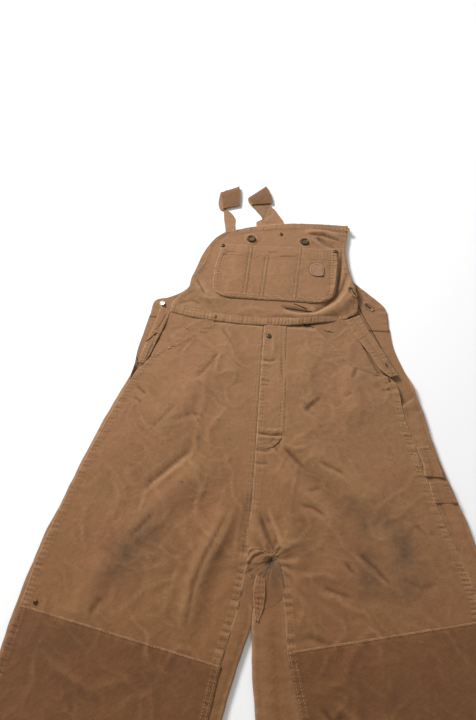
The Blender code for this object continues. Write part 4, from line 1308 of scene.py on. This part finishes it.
def frayed(name, spots, height, rng):
    """Loose broken threads that curl out of worn places."""
    paths = []
    for cx, cy, spread, count, reach in spots:
        for _ in range(count):
            x, y = cx + rng.normal(0, spread), cy + rng.normal(0, spread)
            turn, n = rng.random() * 2 * math.pi, 6
            pts = []
            for k in range(n):
                z = height(x, y)
                if z is None:
                    break
                pts.append((x, y, z + 0.25 + 0.5 * math.sin(math.pi * k / (n - 1)) * rng.random()))
                turn += rng.normal(0, 0.55)
                x, y = x + math.cos(turn) * reach / n, y + math.sin(turn) * reach / n
            if len(pts) == n:
                paths.append(pts)
    thread_piece(name, paths, 0.24, sides=4)


def over(points, height, lift):
    """Those points of the plan laid on the cloth, lifted by that much."""
    out = []
    for x, y in points:
        z = height(x, y)
        if z is not None:
            out.append((x, y, max(z + lift, 1.6)))
    return out


def make_slit_shadows_and_buttonholes():
    """Painted shadow: dark tubes sunk into the cloth along slits, frayed holes and creases at the hips and the
    bib; and thread bars round two keyhole buttonholes.
    """
    mat = plain_material("slit_shadow", (0.018, 0.010, 0.006), 1.0)
    under = ("back_bib", "leg_", "side_band", "hand_pocket", "bib_", "knee")
    height = top_of(*(name for name in OBJECTS if name.startswith(under)))
    paths = {}
    for radius, line in SLIT_SHADOWS:
        path = over(smooth_line(line, 1.6), height, -0.35 * radius)
        if len(path) > 2:
            paths.setdefault(radius, []).append(path)
    for radius, group in paths.items():
        thread_piece("worn_slits_%d" % round(10 * radius), group, radius, mat, sides=6)
    rings = []
    for cx, cy, long, wide, turn in KEYHOLES:
        c, s = math.cos(math.radians(turn)), math.sin(math.radians(turn))
        for k in range(34):
            a = 2 * math.pi * k / 34
            bar = []
            for f in (0.62, 0.86, 1.1):
                u, v = long * f * math.cos(a), wide * f * math.sin(a)
                bar.append((cx + u * c - v * s, cy + u * s + v * c))
            path = over(bar, height, 0.35)
            if len(path) == 3:
                rings.append(path)
    thread_piece("buttonhole_bars", rings, 0.55)


# dark tubes of painted shadow along slits, frayed holes and creases: radius, line
SLIT_SHADOWS = [
    (1.3, [(-204, 333), (-212, 322), (-223, 309)]), (0.6, [(-195, 376), (-202, 350), (-209, 337)]),
    (0.5, [(-208, 311), (-212, 292), (-216, 273)]), (1.0, [(-237, 284), (-231, 274), (-229, 265)]),
    (1.5, [(151, 460), (157, 450), (163, 440)]), (1.5, [(182, 430), (187, 425), (192, 420)]),
    (1.5, [(209, 300), (211, 296), (213, 291)]), (1.3, [(213, 271), (214, 267), (216, 262)]),
    (0.6, [(207, 246), (211, 249), (215, 251)]), (0.6, [(-156, 348), (-150, 345), (-145, 342)]),
    (0.8, [(150, 533), (158, 505), (169, 473)]), (0.6, [(158, 487), (171, 418), (197, 355), (212, 318)]),
    (1.3, [(28, 407), (53, 405), (81, 402)]), (1.1, [(44, 417), (69, 408)]),
    (1.0, [(62, 372), (85, 366)]), (0.9, [(101, 361), (120, 358)]),
    (0.6, [(-12, 541), (10, 542)]), (0.6, [(12, 531), (45, 534)]),
]
KEYHOLES = [(157, 450, 15, 6.5, -58), (188, 424, 13, 6.0, -46)]


make_stitches()
make_slit_shadows_and_buttonholes()
loose = np.random.default_rng(29)
frayed("crotch_threads", [(20, -36, 5, 16, 9), (6, -60, 5, 10, 8), (24, -28, 4, 8, 12)],
       top_of("crotch_gather", "leg_front_left", "leg_front_right"), loose)
frayed("side_threads", [(214, 300, 3, 12, 8), (222, 280, 4, 6, 7), (184, 423, 3, 8, 8)],
       top_of("side_band_cloth_right", "back_bib_cloth", "leg_back_right"), loose)


# ---------------------------------------------------------------- cut sizes

def ruled(low, high):
    """Flat area between two edges of a cut, given station by station, in square millimetres."""
    a, b = (np.array([tuple(p) + (0.0,) * (3 - len(p)) for p in edge], float) for edge in (low, high))
    return float(np.linalg.norm(np.cross(b[1:] - a[:-1], a[1:] - b[:-1]), axis=1).sum() / 2)


def outline_area(stations):
    return ruled([s[0] for s in stations], [s[1] for s in stations])


def polygon_area(points):
    x, y = np.array(points, float).T
    return float(abs(np.dot(x, np.roll(y, -1)) - np.dot(y, np.roll(x, -1))) / 2)


def back_area(side):
    """Back cloth unfolded: the flat part, and what turns up round each fold and runs in to its seam."""
    rows = np.array(BACK[side], float)[::-1]
    ys = np.linspace(rows[0, 0], rows[-1, 0], 600)
    outer, inner = (np.interp(ys, rows[:, 0], rows[:, k]) for k in (1, 2))
    width = np.abs(outer - inner)
    for fold, which, limits in ((outer, 1, OUTER_CURL), (inner, 0, INNER_CURL[side])):
        beyond = math.pi * FOLD_R - 2 * FOLD_R + np.abs(fold - front_edge(side, which, ys)) + SEAM_REACH
        width = width + np.where(ys < limits[1], beyond, 0.0)
    return float(((width[1:] + width[:-1]) / 2 * np.diff(ys)).sum())


def strap_area(side):
    edges = []
    for sign in (-0.5, 0.5):
        edges.append([(x + sign * w * math.cos(math.radians(t)), y + sign * w * math.sin(math.radians(t)), z)
                      for x, y, z, w, t in STRAPS[side]])
    return ruled(*edges)


def pocket_area():
    at = np.linspace(*POCKET_ROWS, 60)
    inner, outer = edges_at(BIB, at)
    left, right = pocket_sides(at - POCKET_ROWS[0])
    span = outer[:, 0] - inner[:, 0]
    edges = [np.stack((x, inner[:, 1] + (outer[:, 1] - inner[:, 1]) * (x - inner[:, 0]) / span), -1)
             for x in (left, right)]
    return ruled(*edges)


bib_left, bib_right, bib_low, bib_top = bib_outline()
fly_y = np.linspace(FLY_LOW, FLY_HIGH, 400)
fly_area = float((fly_edge(fly_y) - FLY_X).mean() * (fly_y[-1] - fly_y[0]))
turn = np.linspace(0, 2 * math.pi, 200)
tab_area = TAB_TALL * float((tab_radius(turn[:-1]) ** 2 / 2 * np.diff(turn)).sum())
for name, area, size, held, rests_on in (
        ("leg_front_left", outline_area(FRONT["left"]), (300, 1190), "laid", ["back_left"]),
        ("leg_front_right", outline_area(FRONT["right"]), (300, 1190), "laid", ["back_right"]),
        ("leg_back_left", back_area("left"), (400, 1200), "folded", ["floor"]),
        ("leg_back_right", back_area("right"), (400, 1200), "folded", ["floor"]),
        ("knee_patch_left_cloth", outline_area(FRONT["left"][PATCH["left"][0]:PATCH["left"][1] + 1]),
         (290, 520), "laid", ["front_left"]),
        ("knee_patch_right_cloth", outline_area(FRONT["right"][PATCH["right"][0]:PATCH["right"][1] + 1]),
         (290, 520), "laid", ["front_right"]),
        ("bib_cloth", polygon_area(np.concatenate((bib_low, bib_right, bib_top, bib_left))),
         (340, 232), "laid", ["back_bib"]),
        ("bib_pocket_cloth", pocket_area(), (245, 150), "laid", ["bib_front"]),
        ("back_bib_cloth", outline_area(BACK_BIB), (450, 225), "laid", ["floor"]),
        ("fly_cloth", fly_area, (45, 245), "laid", ["front_right"]),
        ("hand_pocket_facing_left", outline_area(FACING["left"]), (100, 95), "laid", ["back_left"]),
        ("hand_pocket_facing_right", outline_area(FACING["right"]), (100, 95), "laid", ["back_right"]),
        ("side_band_cloth_left", outline_area(BAND["left"]), (26, 132), "laid", ["back_left"]),
        ("side_band_cloth_right", outline_area(BAND["right"]), (30, 132), "laid", ["back_right"]),
        ("hammer_loop_cloth", outline_area(LOOP), (32, 52), "laid", ["front_right"]),
        ("tool_pocket_cloth", outline_area(TOOL), (38, 36), "laid", ["front_right"]),
        ("strap_cloth_left", strap_area("left"), (50, 235), "folded", ["back_bib"]),
        ("strap_cloth_right", strap_area("right"), (64, 225), "folded", ["back_bib"]),
        ("tab_cloth", tab_area, (37, 40), "laid", ["bib_pocket"])):
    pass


# ---------------------------------------------------------------- floor, light and camera

def floor():
    mesh = bpy.data.meshes.new("floor")
    bm = bmesh.new()
    bmesh.ops.create_grid(bm, x_segments=8, y_segments=8, size=6.0)
    bm.to_mesh(mesh)
    bm.free()
    ob = placed("floor", mesh)
    ob.location.z = CAD_BOX[0][2] - 0.0006
    ob.data.materials.append(plain_material("pale_floor", (0.86, 0.86, 0.86), 0.9))


def area_light(name, place, target, size, power):
    data = bpy.data.lights.new(name, "AREA")
    data.shape, data.size, data.size_y = "RECTANGLE", size[0], size[1]
    data.energy = power
    ob = placed(name, data)
    ob.location = place
    ob.rotation_euler = (Vector(target) - Vector(place)).to_track_quat("-Z", "Y").to_euler()


def lights():
    area_light("key", (-1.55, 1.95, 1.35), (-0.05, 0.15, 0), (1.0, 0.7), 106)
    area_light("fill", (0.6, -0.9, 2.4), (0, 0, 0), (2.4, 2.0), 5)
    world = bpy.data.worlds.new("soft_room")
    bpy.context.scene.world = world
    world.use_nodes = True
    background = world.node_tree.nodes["Background"]
    background.inputs["Color"].default_value = (1, 1, 1, 1)
    background.inputs["Strength"].default_value = 0.42


def camera():
    """Above the crotch, looking down towards the bib."""
    tilt, yaw, roll = 1.0563, -0.0965, -0.0154
    place = np.array((-10.4, -131.6, 748.0)) * MM + SHIFT
    look = Vector((math.sin(yaw) * math.cos(tilt), math.cos(yaw) * math.cos(tilt), -math.sin(tilt)))
    right = Vector((math.cos(yaw), -math.sin(yaw), 0))
    up = right.cross(look)
    r2 = right * math.cos(roll) + up * math.sin(roll)
    u2 = -right * math.sin(roll) + up * math.cos(roll)
    data = bpy.data.cameras.new("camera")
    data.sensor_fit, data.sensor_width, data.sensor_height = "VERTICAL", 24.0, 36.0
    data.lens = 23.9
    ob = placed("camera", data)
    m = Matrix((r2, u2, -look)).transposed().to_4x4()
    m.translation = Vector(place)
    ob.matrix_world = m
    bpy.context.scene.camera = ob


floor()
lights()
camera()
bpy.context.scene.view_settings.view_transform = "Standard"
bpy.context.view_layer.update()
